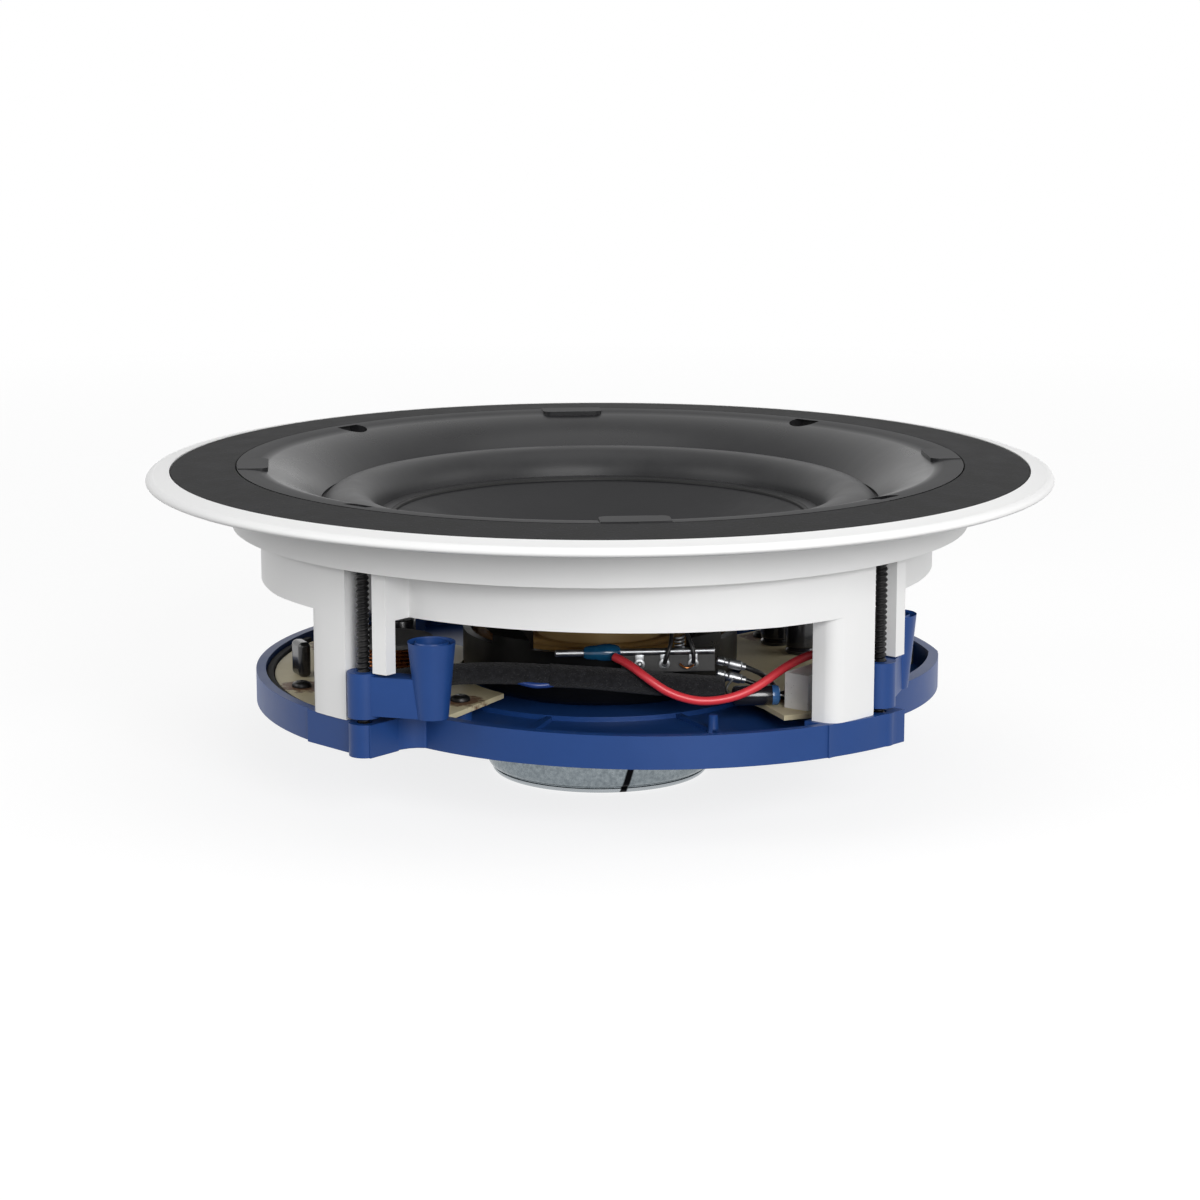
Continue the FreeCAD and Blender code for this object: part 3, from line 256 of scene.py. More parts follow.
# ragged ring of flux round a point of a board
def makeStainGroup():
    tree, into, out = newGroup(
        "fluxStain",
        [("Vector", "NodeSocketVector", None), ("Centre", "NodeSocketVector", None),
         ("Reach", "NodeSocketFloat", 0.005)],
        [("Mask", "NodeSocketFloat")])
    ragged = addNode(tree, "ShaderNodeTexNoise")
    ragged.inputs["Scale"].default_value = 420
    ragged.inputs["Detail"].default_value = 4
    tree.links.new(into.outputs["Vector"], ragged.inputs["Vector"])
    away = addNode(tree, "ShaderNodeVectorMath", operation="DISTANCE")
    tree.links.new(into.outputs["Vector"], away.inputs[0])
    tree.links.new(into.outputs["Centre"], away.inputs[1])
    share = math2(tree, "DIVIDE", away.outputs["Value"], into.outputs["Reach"])
    uneven = mapRange(tree, ragged.outputs["Fac"], *spans["ragged"], *spans["raggedBy"])
    edge = math2(tree, "ADD", share, uneven)
    tree.links.new(mapRange(tree, edge, *spans["stain"], spans["stainStrength"], 0), out.inputs["Mask"])
    return tree


stainGroup = makeStainGroup()

# mesh helpers
mergeGap = 0.002 * mm
sharpTurn = math.radians(32)
flatTurn = math.radians(0.4)  # facets that meet flatter than this are one face
around = {"rim": 360, "bead": 160, "can": 128, "coil": 64, "sleeve": 40, "film": 32, "small": 24, "tiny": 20}
leadSides = {"thick": 6, "thin": 3, "leg": 2}
fineSteps = 3


def finishMesh(bm, name, finish):
    bmesh.ops.remove_doubles(bm, verts=bm.verts, dist=mergeGap)
    bmesh.ops.recalc_face_normals(bm, faces=bm.faces)
    mesh = bpy.data.meshes.new(name)
    bm.to_mesh(mesh)
    bm.free()
    if "custom_normal" in mesh.attributes:
        mesh.attributes.remove(mesh.attributes["custom_normal"])
    mesh.polygons.foreach_set("use_smooth", [True] * len(mesh.polygons))
    mesh.set_sharp_from_angle(angle=sharpTurn)
    mesh.materials.clear()
    mesh.materials.append(finish)
    piece = bpy.data.objects.new(name, mesh)
    scene.collection.objects.link(piece)
    return piece


def softenEdges(piece, width, steps=2):
    bevel = piece.modifiers.new("softEdge", "BEVEL")
    bevel.width = width * mm
    bevel.segments = steps
    bevel.profile = 0.5
    bevel.limit_method = "ANGLE"
    bevel.angle_limit = sharpTurn
    bevel.harden_normals = True
    bevel.material = -1
    bevel.use_clamp_overlap = True


# A CAD piece as it is, merged, with its moulded or stamped edges softened.
def dressNode(name, finish, edge=0, steps=2, shape=None, ride=True):
    source = frame["nodes"][name]
    bm = bmesh.new()
    bm.from_mesh(source.data)
    bmesh.ops.remove_doubles(bm, verts=bm.verts, dist=mergeGap)
    bmesh.ops.dissolve_limit(bm, angle_limit=flatTurn, verts=bm.verts, edges=bm.edges)
    if shape:
        shape(bm)
    piece = finishMesh(bm, name + "_dressed", finish)
    if edge:
        softenEdges(piece, edge, steps)
    return standFor(piece, name, ride)


def standFor(piece, name, ride=True):
    if ride:
        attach(piece, frame["nodes"][name]["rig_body"])
    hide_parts(name)
    return piece


def addTo(piece, body):
    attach(piece, body)


# full turn of a profile of (radius, height) points about Z, then turned and moved, in millimetres
def turnProfile(bm, profile, steps=48, turn=None, place=(0, 0, 0)):
    before = set(bm.verts)
    points = [bm.verts.new((radius * mm, 0, height * mm)) for radius, height in profile]
    edges = [bm.edges.new(pair) for pair in zip(points, points[1:])]
    bmesh.ops.spin(bm, geom=points + edges, cent=(0, 0, 0), axis=(0, 0, 1), angle=2 * math.pi,
                   steps=steps, use_merge=True)
    moveNew(bm, before, turn, place)


# a small block with rounded edges, in millimetres
def roundBlock(bm, sides, edge, turn=None, place=(0, 0, 0)):
    before = set(bm.verts)
    made = bmesh.ops.create_cube(bm, size=mm)["verts"]
    bmesh.ops.scale(bm, verts=made, vec=sides)
    corners = list({side for vert in made for side in vert.link_edges})
    bmesh.ops.bevel(bm, geom=corners, offset=edge * mm, affect="EDGES", segments=2, profile=0.5, material=-1)
    moveNew(bm, before, turn, place)


def moveNew(bm, before, turn, place):
    made = [vert for vert in bm.verts if vert not in before]
    if turn:
        bmesh.ops.rotate(bm, verts=made, cent=(0, 0, 0), matrix=turn)
    bmesh.ops.translate(bm, verts=made, vec=Vector(place) * mm)


# faces at the far end of an axis that look along it
def outerFaces(bm, axis, square=0.99, level=0.2 * mm):
    far = max(vert.co[axis] for vert in bm.verts)
    return [face for face in bm.faces
            if face.normal[axis] > square and face.calc_center_median()[axis] > far - level]


alongX = Matrix.Rotation(math.radians(90), 3, "Y")
towardFront = Matrix.Rotation(math.radians(90), 3, "X")


# round lead on a smooth spline, its control points the route's points
def makeLead(name, route, radius, finish, swell=None, sides=leadSides["thick"]):
    curve = bpy.data.curves.new(name, "CURVE")
    curve.dimensions = "3D"
    curve.bevel_depth = radius * mm
    curve.bevel_resolution = sides
    curve.use_fill_caps = True
    spline = curve.splines.new("NURBS")
    spline.points.add(len(route) - 1)
    for index, spot in enumerate(route):
        spline.points[index].co = (spot[0] * mm, spot[1] * mm, spot[2] * mm, 1)
        spline.points[index].radius = swell[index % len(swell)] if swell else 1
    spline.order_u = 3
    spline.use_endpoint_u = True
    spline.resolution_u = 10
    piece = bpy.data.objects.new(name, curve)
    scene.collection.objects.link(piece)
    curve.materials.append(finish)
    return piece


# a lead turned into a mesh
def meshLead(name, route, radius, finish):
    lead = makeLead(name + "_line", route, radius, finish, sides=leadSides["thin"])
    bpy.context.view_layer.update()
    mesh = bpy.data.meshes.new_from_object(lead.evaluated_get(bpy.context.evaluated_depsgraph_get()))
    bpy.data.objects.remove(lead)
    piece = bpy.data.objects.new(name, mesh)
    scene.collection.objects.link(piece)
    return piece


# A round soft piece has its place baked into its mesh.
def flexRound(piece, outer, inner):
    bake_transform(piece)


print("helpers ready")


# white moulding with the flange, collar, legs and pillars
bezelLook = {
    "edge": 0.45,
    "rim": {"radius": 140.01, "roll": 2.61, "edge": 94.7, "rise": 1.23, "top": 96.53, "seat": 132.85,
            "lip": 97.43, "tuck": 1.5, "steps": 10},
    "finish": {"colour": (0.79, 0.79, 0.79), "shade": (0.82, 0.82, 0.815), "cloud": 18,
               "rough": (0.36, 0.46), "grain": 1900, "bump": 0.10, "deep": 0.03,
               "sockets": {"Specular IOR Level": 0.4}},
}


# clean turned skin over the roll of the flange's rim
def rimProfile():
    rim = bezelLook["rim"]
    inner = rim["radius"] - rim["roll"]
    turns = [math.radians(90 * step / rim["steps"]) for step in range(rim["steps"] + 1)]
    under = [(inner + rim["roll"] * math.sin(turn), rim["edge"] - rim["rise"] * math.cos(turn))
             for turn in turns]
    over = [(inner + rim["roll"] * math.cos(turn), rim["edge"] + (rim["top"] - rim["edge"]) * math.sin(turn))
            for turn in turns[1:]]
    return [(inner - rim["tuck"], rim["edge"] - rim["rise"])] + under + over + [(rim["seat"], rim["lip"])]


def makeBezel():
    white = makeFinish("whiteMoulding", bezelLook["finish"])
    dressNode("bezel", white, bezelLook["edge"])
    bm = bmesh.new()
    turnProfile(bm, rimProfile(), around["rim"])
    addTo(finishMesh(bm, "bezel_rim", white), "frame")


makeBezel()
print("bezel dressed")


# black grille seat and grey trim with its lugs
ringLook = {
    "seatEdge": 0.35,
    "trimEdge": 0.3,
    "seat": {"colour": (0.016, 0.016, 0.017), "shade": (0.024, 0.024, 0.024), "cloud": 90,
             "rough": (0.72, 0.84),
             "grain": 900, "bump": 0.75, "deep": 0.16, "specks": (1400, 0.16, (0.050, 0.050, 0.050)),
             "sockets": {"Specular IOR Level": 0.12}},
    "trim": {"colour": (0.009, 0.009, 0.010), "shade": (0.014, 0.014, 0.015), "cloud": 40,
             "rough": (0.26, 0.33),
             "grain": 1500, "bump": 0.28, "deep": 0.06, "sockets": {"Specular IOR Level": 0.3}},
    "lugRough": 0.66,
}


def makeRings():
    dressNode("grille_seat_ring", makeFinish("grainedSeat", ringLook["seat"]), ringLook["seatEdge"])
    trim = makeFinish("greyTrim", ringLook["trim"])
    dullTops(trim, ringLook["lugRough"])
    dressNode("baffle_trim", trim, ringLook["trimEdge"])


makeRings()
print("front rings dressed")


# driver
driverLook = {
    "rubber": {"colour": (0.016, 0.016, 0.017), "shade": (0.024, 0.024, 0.025), "cloud": 60,
               "rough": (0.38, 0.46),
               "grain": 1100, "bump": 0.20, "deep": 0.06, "sockets": {"Specular IOR Level": 0.25}},
    "cone": {"colour": (0.009, 0.009, 0.010), "shade": (0.014, 0.014, 0.015), "cloud": 55,
             "rough": (0.50, 0.62),
             "grain": 700, "bump": 0.22, "deep": 0.10, "sockets": {"Specular IOR Level": 0.22}},
    "coneBack": (0.20, 0.115, 0.042),
    "glue": {"colour": (0.005, 0.005, 0.005), "shade": (0.009, 0.009, 0.009), "cloud": 200,
             "rough": (0.45, 0.55),
             "grain": 500, "bump": 0.3, "deep": 0.1, "sockets": {"Specular IOR Level": 0.2}},
    "bead": [(64.1, 81.15), (64.3, 81.7), (64.9, 82.1), (65.5, 82.0), (65.6, 81.6)],
    "steel": {"colour": (0.005, 0.005, 0.005), "shade": (0.009, 0.009, 0.009), "cloud": 40,
              "rough": (0.26, 0.38),
              "grain": 1600, "bump": 0.22, "deep": 0.05, "sockets": {"Specular IOR Level": 0.18}},
    "cloth": {"colour": (0.34, 0.19, 0.055), "shade": (0.46, 0.28, 0.09), "cloud": 70, "rough": (0.55, 0.75),
              "grain": 900, "bump": 0.55, "deep": 0.2},
    "former": {"colour": (0.42, 0.27, 0.10), "shade": (0.50, 0.33, 0.13), "cloud": 50, "rough": (0.35, 0.5),
               "grain": 900, "bump": 0.15, "deep": 0.05},
    "copper": {"colour": (0.50, 0.19, 0.07), "shade": (0.58, 0.25, 0.10), "cloud": 80, "rough": (0.25, 0.35),
               "grain": 900, "bump": 0.4, "deep": 0.2, "stretch": (0.05, 0.05, 3),
               "sockets": {"Metallic": 1.0}},
    "basketEdge": 0.4,
    "rollFlex": (86, 69), "spiderFlex": (39, 20),
}


def makeDriver():
    roll = dressNode("surround", makeFinish("rollRubber", driverLook["rubber"]), ride=False)
    flexRound(roll, *driverLook["rollFlex"])
    paper = makeFinish("coneSheet", driverLook["cone"])
    overlay(paper, downMask(paper.node_tree), driverLook["coneBack"])
    dressNode("cone", paper)
    bm = bmesh.new()
    turnProfile(bm, driverLook["bead"], around["bead"])
    glue = makeFinish("coneGlue", driverLook["glue"])
    addTo(finishMesh(bm, "cone_glue", glue), "diaphragm")
    dressNode("basket", makeFinish("powderBlack", driverLook["steel"]), driverLook["basketEdge"])
    web = dressNode("spider", makeFinish("spiderCloth", driverLook["cloth"]), ride=False)
    flexRound(web, *driverLook["spiderFlex"])
    dressNode("voice_coil_former", makeFinish("formerFilm", driverLook["former"]))
    dressNode("voice_coil_winding", makeFinish("coilCopper", driverLook["copper"]))


makeDriver()
print("driver dressed")


# magnet system
motorLook = {
    "can": [(0, 0), (32.2, 0), (33.4, 0.3), (33.9, 0.9), (33.9, 1.5), (33.4, 1.7), (33.4, 2.0),
            (34.0, 2.1), (34.7, 2.5), (35.2, 3.2), (35.45, 4.1), (35.5, 5.0), (35.5, 26.9),
            (34.3, 26.9), (34.3, 4), (31.8, 1.5), (0, 1.5)],
    "plateEdge": 0.2, "magnetEdge": 0.3, "cupEdge": 0.2, "guideEdge": 0.15,
    "zinc": {"colour": (0.19, 0.22, 0.24), "shade": (0.31, 0.35, 0.37), "cloud": 800, "rough": (0.2, 0.3),
             "grain": 700, "bump": 0.3, "deep": 0.1,
             "sockets": {"Metallic": 1.0}},
    # painted reflection: a lighter tint on the can's bottom lip that stands for the white floor reflected in
    # it
    "paintedFloorReflection": (0.42, 0.45, 0.47), "reflectionTop": (1.6, 1.8),
    "pen": {"x": 4.0, "lean": 0.3, "half": 0.85, "low": 0.2, "high": 9, "fray": 1.5,
            "ink": (0.004, 0.004, 0.005)},
    "plain": {"colour": (0.45, 0.45, 0.45), "shade": (0.52, 0.52, 0.52), "cloud": 60, "rough": (0.3, 0.42),
              "grain": 900, "bump": 0.2, "deep": 0.05, "sockets": {"Metallic": 1.0}},
    "ferrite": {"colour": (0.05, 0.05, 0.052), "shade": (0.09, 0.09, 0.09), "cloud": 90, "rough": (0.6, 0.8),
                "grain": 700, "bump": 0.4, "deep": 0.1},
    "dome": {"colour": (0.52, 0.52, 0.53), "shade": (0.58, 0.58, 0.59), "cloud": 90, "rough": (0.22, 0.32),
             "grain": 1500, "bump": 0.1, "deep": 0.03, "sockets": {"Metallic": 1.0}},
    "guide": {"colour": (0.016, 0.016, 0.016), "shade": (0.024, 0.024, 0.024), "cloud": 60,
              "rough": (0.38, 0.5), "grain": 1500, "bump": 0.2, "deep": 0.05},
}


# felt pen stroke up the front of the can
def penMask(tree):
    pen = motorLook["pen"]
    across = splitPlace(tree)
    lean = math2(tree, "MULTIPLY", math2(tree, "SUBTRACT", across["Z"], pen["low"] * mm), pen["lean"])
    beside = math2(tree, "SUBTRACT", across["X"], pen["x"] * mm)
    off = math2(tree, "ABSOLUTE", math2(tree, "SUBTRACT", beside, lean), 0)
    stroke = mapRange(tree, off, pen["half"] * mm, pen["half"] * pen["fray"] * mm, 1, 0)
    front = math2(tree, "LESS_THAN", across["Y"], 0)
    above = math2(tree, "GREATER_THAN", across["Z"], pen["low"] * mm)
    below = math2(tree, "LESS_THAN", across["Z"], pen["high"] * mm)
    band = math2(tree, "MULTIPLY", above, below)
    return math2(tree, "MULTIPLY", math2(tree, "MULTIPLY", stroke, front), band)


def makeMotor():
    zinc = makeFinish("zincPlate", motorLook["zinc"])
    # painted reflection: the lip at the can's foot is tinted lighter to stand for the white floor reflected
    # in it
    overlay(zinc, heightMask(zinc.node_tree, *motorLook["reflectionTop"]), motorLook["paintedFloorReflection"])
    overlay(zinc, penMask(zinc.node_tree), motorLook["pen"]["ink"])
    plain = makeFinish("turnedSteel", motorLook["plain"])
    ferrite = makeFinish("ferrite", motorLook["ferrite"])
    guide = makeFinish("guidePlastic", motorLook["guide"])
    bm = bmesh.new()
    turnProfile(bm, motorLook["can"], around["can"])
    standFor(finishMesh(bm, "shield_can_drawn", zinc), "shield_can")
    for name in ("yoke", "top_plate", "tweeter_plate"):
        dressNode(name, plain, motorLook["plateEdge"])
    for name in ("ferrite_magnet", "tweeter_magnet"):
        dressNode(name, ferrite, motorLook["magnetEdge"])
    dressNode("tweeter_cup", guide, motorLook["cupEdge"])
    dressNode("tweeter_waveguide", guide, motorLook["guideEdge"])
    dressNode("tweeter_dome", makeFinish("domeMetal", motorLook["dome"]))


makeMotor()
print("motor dressed")


# blue rear frame, gaskets and clamps
frameLook = {
    "edge": 0.7,
    "dogEdge": 1.0,
    "gasketEdge": 0.4,
    "blue": {"colour": (0.008, 0.044, 0.180), "shade": (0.011, 0.052, 0.205), "cloud": 26,
             "rough": (0.36, 0.46),
             "grain": 1300, "bump": 0.16, "deep": 0.05, "sockets": {"Specular IOR Level": 0.34}},
    "postRim": 1.6, "postDeep": 3.5,
    "corner": {"outline": [(-66.4, -72.8), (-64.4, -71.0), (-62.2, -69.9), (-60.0, -69.5), (-57.4, -69.9),
                           (-55.6, -67.9), (-59.4, -66.6), (-62.4, -66.9), (-65.6, -69.0)],
               "low": 24.75, "high": 34.4, "edge": 0.5},
    "peg": {"profile": [(1.9, 26.8), (1.6, 27.6), (1.5, 31.9), (1.2, 32.3), (0, 32.3)],
            "place": (27.5, -66.5, 0)},
    "foam": {"colour": (0.010, 0.010, 0.010), "shade": (0.018, 0.018, 0.018), "cloud": 120,
             "rough": (0.75, 0.9), "grain": 1200, "bump": 0.8, "deep": 0.25},
}
clampLook = {
    "thread": [(0, 0), (1, 0.38), (1, 0.52), (0, 0.9), (0, 1)],  # shares of the depth and of the pitch
    "radius": 1.95, "root": 1.45, "pitch": 1.6, "steps": 16, "low": 28.35, "seat": 82.98, "offset": 75.38,
    "head": {"radius": 3.7, "height": 3.0, "cross": 1.9, "slot": 0.55, "deep": 1.5},
    "oxide": {"colour": (0.018, 0.018, 0.019), "shade": (0.035, 0.034, 0.034), "cloud": 140,
              "rough": (0.32, 0.46), "grain": 900, "bump": 0.2, "deep": 0.05, "sockets": {"Metallic": 0.75}},
}
clampSides = {"rear_right": (1, 1), "rear_left": (-1, 1), "front_left": (-1, -1), "front_right": (1, -1)}


# short wall that closes the rim beside a clamp
def cornerWall(bm, turn):
    wall = frameLook["corner"]
    low, high = ([bm.verts.new(turn @ Vector((x, y, z)) * mm) for x, y in wall["outline"]]
                 for z in (wall["low"], wall["high"]))
    bm.faces.new(low)
    bm.faces.new(high)
    for index in range(len(low)):
        bm.faces.new((low[index - 1], low[index], high[index], high[index - 1]))


# socket in the top of each clamp's post
def hollowPost(bm):
    top = outerFaces(bm, 2)
    bmesh.ops.inset_region(bm, faces=top, thickness=frameLook["postRim"] * mm)
    bmesh.ops.translate(bm, verts=list({vert for face in top for vert in face.verts}),
                        vec=(0, 0, -frameLook["postDeep"] * mm))


def makeFrame():
    blue = makeFinish("blueMoulding", frameLook["blue"])
    foam = makeFinish("blackFoam", frameLook["foam"])
    dressNode("rear_frame", blue, frameLook["edge"], fineSteps)
    for side in ("left", "right"):
        dressNode("lobe_gasket_" + side, foam, frameLook["gasketEdge"])
    for side in clampSides:
        dressNode("clamp_dog_" + side, blue, frameLook["dogEdge"], fineSteps, hollowPost)
    bm = bmesh.new()
    turnProfile(bm, frameLook["peg"]["profile"], around["tiny"], place=frameLook["peg"]["place"])
    addTo(finishMesh(bm, "frame_peg", blue), "frame")
    bm = bmesh.new()
    for angle in (0, 180):
        cornerWall(bm, Matrix.Rotation(math.radians(angle), 3, "Z"))
    corners = finishMesh(bm, "rim_corners", blue)
    softenEdges(corners, frameLook["corner"]["edge"])
    addTo(corners, "frame")


headShape = [(0.9, 0), (1, 0.12), (1, 0.45), (0.9, 0.72), (0.62, 0.95)]  # shares of radius and height
recessTaper = 0.7


# pan head with a cross recess, its seat on z = 0, in millimetres
def panHead(bm, head, x, y, z, flip=1):
    before = set(bm.verts)
    radius, height = head["radius"], head["height"]
    turnProfile(bm, [(radius * out, height * up) for out, up in headShape], around["small"])
    cross = head["cross"]
    slot = head["slot"]
    corners = [(cross, -slot), (cross, slot), (slot, slot), (slot, cross), (-slot, cross), (-slot, slot),
               (-cross, slot), (-cross, -slot), (-slot, -slot), (-slot, -cross), (slot, -cross),
               (slot, -slot)]
    loop = [bm.verts.new((across * mm, along * mm, height * mm)) for across, along in corners]
    recess = [bm.edges.new((loop[index - 1], loop[index])) for index in range(len(loop))]
    made = [vert for vert in bm.verts if vert not in before]
    bmesh.ops.remove_doubles(bm, verts=made, dist=mergeGap)
    made = [vert for vert in bm.verts if vert not in before]
    ring = [edge for edge in bm.edges if edge.is_boundary and edge.verts[0] in made
            and min(vert.co.z for vert in edge.verts) > height * headShape[-2][1] * mm]
    bmesh.ops.bridge_loops(bm, edges=ring + recess)
    walls = bmesh.ops.extrude_edge_only(bm, edges=recess)
    floor = [item for item in walls["geom"] if isinstance(item, bmesh.types.BMVert)]
    bmesh.ops.translate(bm, verts=floor, vec=(0, 0, -head["deep"] * mm))
    bmesh.ops.scale(bm, verts=floor, vec=(recessTaper, recessTaper, 1))
    made = [vert for vert in bm.verts if vert not in before]
    rims = [edge for edge in bm.edges if edge.is_boundary and edge.verts[0] in made]
    bmesh.ops.holes_fill(bm, edges=rims, sides=0)
    bmesh.ops.scale(bm, verts=made, vec=(1, 1, flip))
    bmesh.ops.translate(bm, verts=made, vec=(x * mm, y * mm, z * mm))


# thread swept up the screw: one pitch of the profile turned and lifted
def threadedScrew(side, oxide):
    bm = bmesh.new()
    pitch, crest, root = clampLook["pitch"], clampLook["radius"], clampLook["root"]
    profile = [(root + (crest - root) * out, pitch * up) for out, up in clampLook["thread"]]
    points = [bm.verts.new((radius * mm, 0, (clampLook["low"] + height) * mm)) for radius, height in profile]
    edges = [bm.edges.new(pair) for pair in zip(points, points[1:])]
    turns = int((clampLook["seat"] - clampLook["low"]) / pitch) - 1
    steps = clampLook["steps"]
    bmesh.ops.spin(bm, geom=points + edges, cent=(0, 0, 0), axis=(0, 0, 1), angle=2 * math.pi * turns,
                   steps=steps * turns, dvec=(0, 0, pitch * mm / steps))
    bmesh.ops.remove_doubles(bm, verts=bm.verts, dist=mergeGap)
    top = max(vert.co.z for vert in bm.verts) / mm
    bmesh.ops.holes_fill(bm, edges=[edge for edge in bm.edges if edge.is_boundary], sides=0)
    neck = [(0, top - pitch), (root, top - pitch), (root, clampLook["seat"]), (0, clampLook["seat"])]
    turnProfile(bm, neck, steps)
    panHead(bm, clampLook["head"], 0, 0, clampLook["seat"])
    right, back = clampSides[side]
    place = (right * clampLook["offset"] * mm, back * clampLook["offset"] * mm, 0)
    bmesh.ops.translate(bm, verts=bm.verts, vec=place)
    piece = finishMesh(bm, "clamp_screw_" + side + "_threaded", oxide)
    standFor(piece, "clamp_screw_" + side)


def makeClamps():
    oxide = makeFinish("blackOxide", clampLook["oxide"])
    for side in clampSides:
        threadedScrew(side, oxide)
    return oxide


makeFrame()
oxide = makeClamps()
print("frame and clamps dressed")


# crossover boards and what stands on them
boardLook = {
    "edge": 0.15, "coreEdge": 0.3, "cementEdge": 0.3, "fuseEdge": 1.5, "fuseSteps": 4,
    "sheet": {"colour": (0.60, 0.52, 0.32), "shade": (0.70, 0.63, 0.43), "cloud": 60, "rough": (0.45, 0.6),
              "grain": 1800, "bump": 0.2, "deep": 0.04, "specks": (900, 0.08, (0.50, 0.42, 0.24))},
    "flux": (0.13, 0.045, 0.018), "fluxReach": 7.5,
    "enamel": {"colour": (0.15, 0.050, 0.018), "shade": (0.22, 0.080, 0.030), "cloud": 300,
               "rough": (0.2, 0.32), "grain": 900, "bump": 0.2, "deep": 0.05, "sockets": {"Metallic": 1.0}},
    "core": {"colour": (0.045, 0.045, 0.047), "shade": (0.08, 0.08, 0.08), "cloud": 90, "rough": (0.5, 0.7),
             "grain": 900, "bump": 0.3, "deep": 0.1},
    "sleeve": {"colour": (0.010, 0.010, 0.013), "shade": (0.018, 0.018, 0.023), "cloud": 50,
               "rough": (0.18, 0.28),
               "grain": 1500, "bump": 0.06, "deep": 0.03, "sockets": {"Coat Weight": 0.3}},
    "blueEnd": {"colour": (0.03, 0.12, 0.32), "shade": (0.05, 0.17, 0.42), "cloud": 200, "rough": (0.2, 0.3),
                "grain": 900, "bump": 0.1, "deep": 0.04, "sockets": {"Coat Weight": 0.3}},
    "cement": {"colour": (0.62, 0.62, 0.60), "shade": (0.70, 0.70, 0.68), "cloud": 140, "rough": (0.65, 0.8),
               "grain": 1500, "bump": 0.5, "deep": 0.1, "specks": (1600, 0.1, (0.38, 0.38, 0.37))},
    "cementRim": 0.9, "cementSink": 0.45,
    "resin": {"colour": (0.010, 0.010, 0.011), "shade": (0.018, 0.018, 0.019), "cloud": 120,
              "rough": (0.2, 0.3), "grain": 900, "bump": 0.1, "deep": 0.05, "sockets": {"Coat Weight": 0.4}},
    "screws": [(-46.05, -43.49), (-93.49, -20.47), (-84.0, 37.95), (-57.99, 44.03), (52.02, -47.97),
               (88.05, 12.05), (79.95, 39.98), (57.03, 39.02)],
    "top": 32.6,
    "head": {"radius": 3.0, "height": 1.8, "cross": 1.5, "slot": 0.42, "deep": 0.9},
    "cans": [(-70.04, 8.0), (-62.04, 21.96), (65.99, 13.96), (60.02, 28.04)],
    "canSleeve": [(0, 0), (4.5, 0), (4.95, 0.35), (5, 1.2), (4.5, 1.9), (5, 2.65), (5, 11.3), (4.85, 11.8),
                  (4.4, 12), (4.2, 11.7)],
    "canTop": [(4.25, 11.5), (4.2, 11.72), (3.6, 11.62), (0, 11.62)],
    "coil": {"place": (-65.99, -20.04, 0), "inner": 6, "outer": 11.5, "low": 34.1, "turns": 10, "pitch": 1.2,
             "groove": 0.6, "shoulder": 0.18, "gap": 0.02},
    "film": [(0, 0), (2.2, 0), (2.75, 0.35), (3, 1), (3, 13), (2.75, 13.65), (2.2, 14), (0, 14)],
    "filmEnd": [(2.9, 11.6), (3.03, 11.7), (3.03, 13.02), (2.78, 13.68), (2.22, 14.03), (0, 14.03)],
    "filmPlace": (34.54, -57.03, 35.6),
    "legs": [[(48.4, -57.03, 35.6), (50.6, -57.03, 35.5), (50.9, -57, 33.8), (50.9, -57, 32.5)],
             [(34.7, -57.03, 35.6), (32.6, -56.6, 36), (33, -53.2, 38), (36.5, -50.4, 40)],
             [(-91.6, -5.8, 34), (-91.4, -5.2, 33.2), (-91.4, -5.2, 32.5)]],
    "legRadius": 0.38,
}


# turns of wire as ridges up the bobbin
def makeCoil():
    coil = boardLook["coil"]
    low, pitch, outer = coil["low"], coil["pitch"], coil["outer"]
    profile = [(coil["inner"], low)]
    for turn in range(coil["turns"]):
        start = low + turn * pitch
        profile += [(outer - coil["groove"], start + coil["gap"]),
                    (outer - coil["shoulder"], start + pitch * 0.2), (outer, start + pitch * 0.5),
                    (outer - coil["shoulder"], start + pitch * 0.8)]
    high = low + coil["turns"] * pitch
    profile += [(outer - coil["groove"], high), (coil["inner"], high)]
    bm = bmesh.new()
    turnProfile(bm, profile, around["coil"], place=coil["place"])
    wire = makeFinish("enamelWire", boardLook["enamel"])
    standFor(finishMesh(bm, "inductor_turns", wire), "inductor_winding")


# poured top of the resistor, a little below its rim
def sinkTop(bm):
    bmesh.ops.inset_region(bm, faces=outerFaces(bm, 2), thickness=boardLook["cementRim"] * mm,
                           depth=-boardLook["cementSink"] * mm)


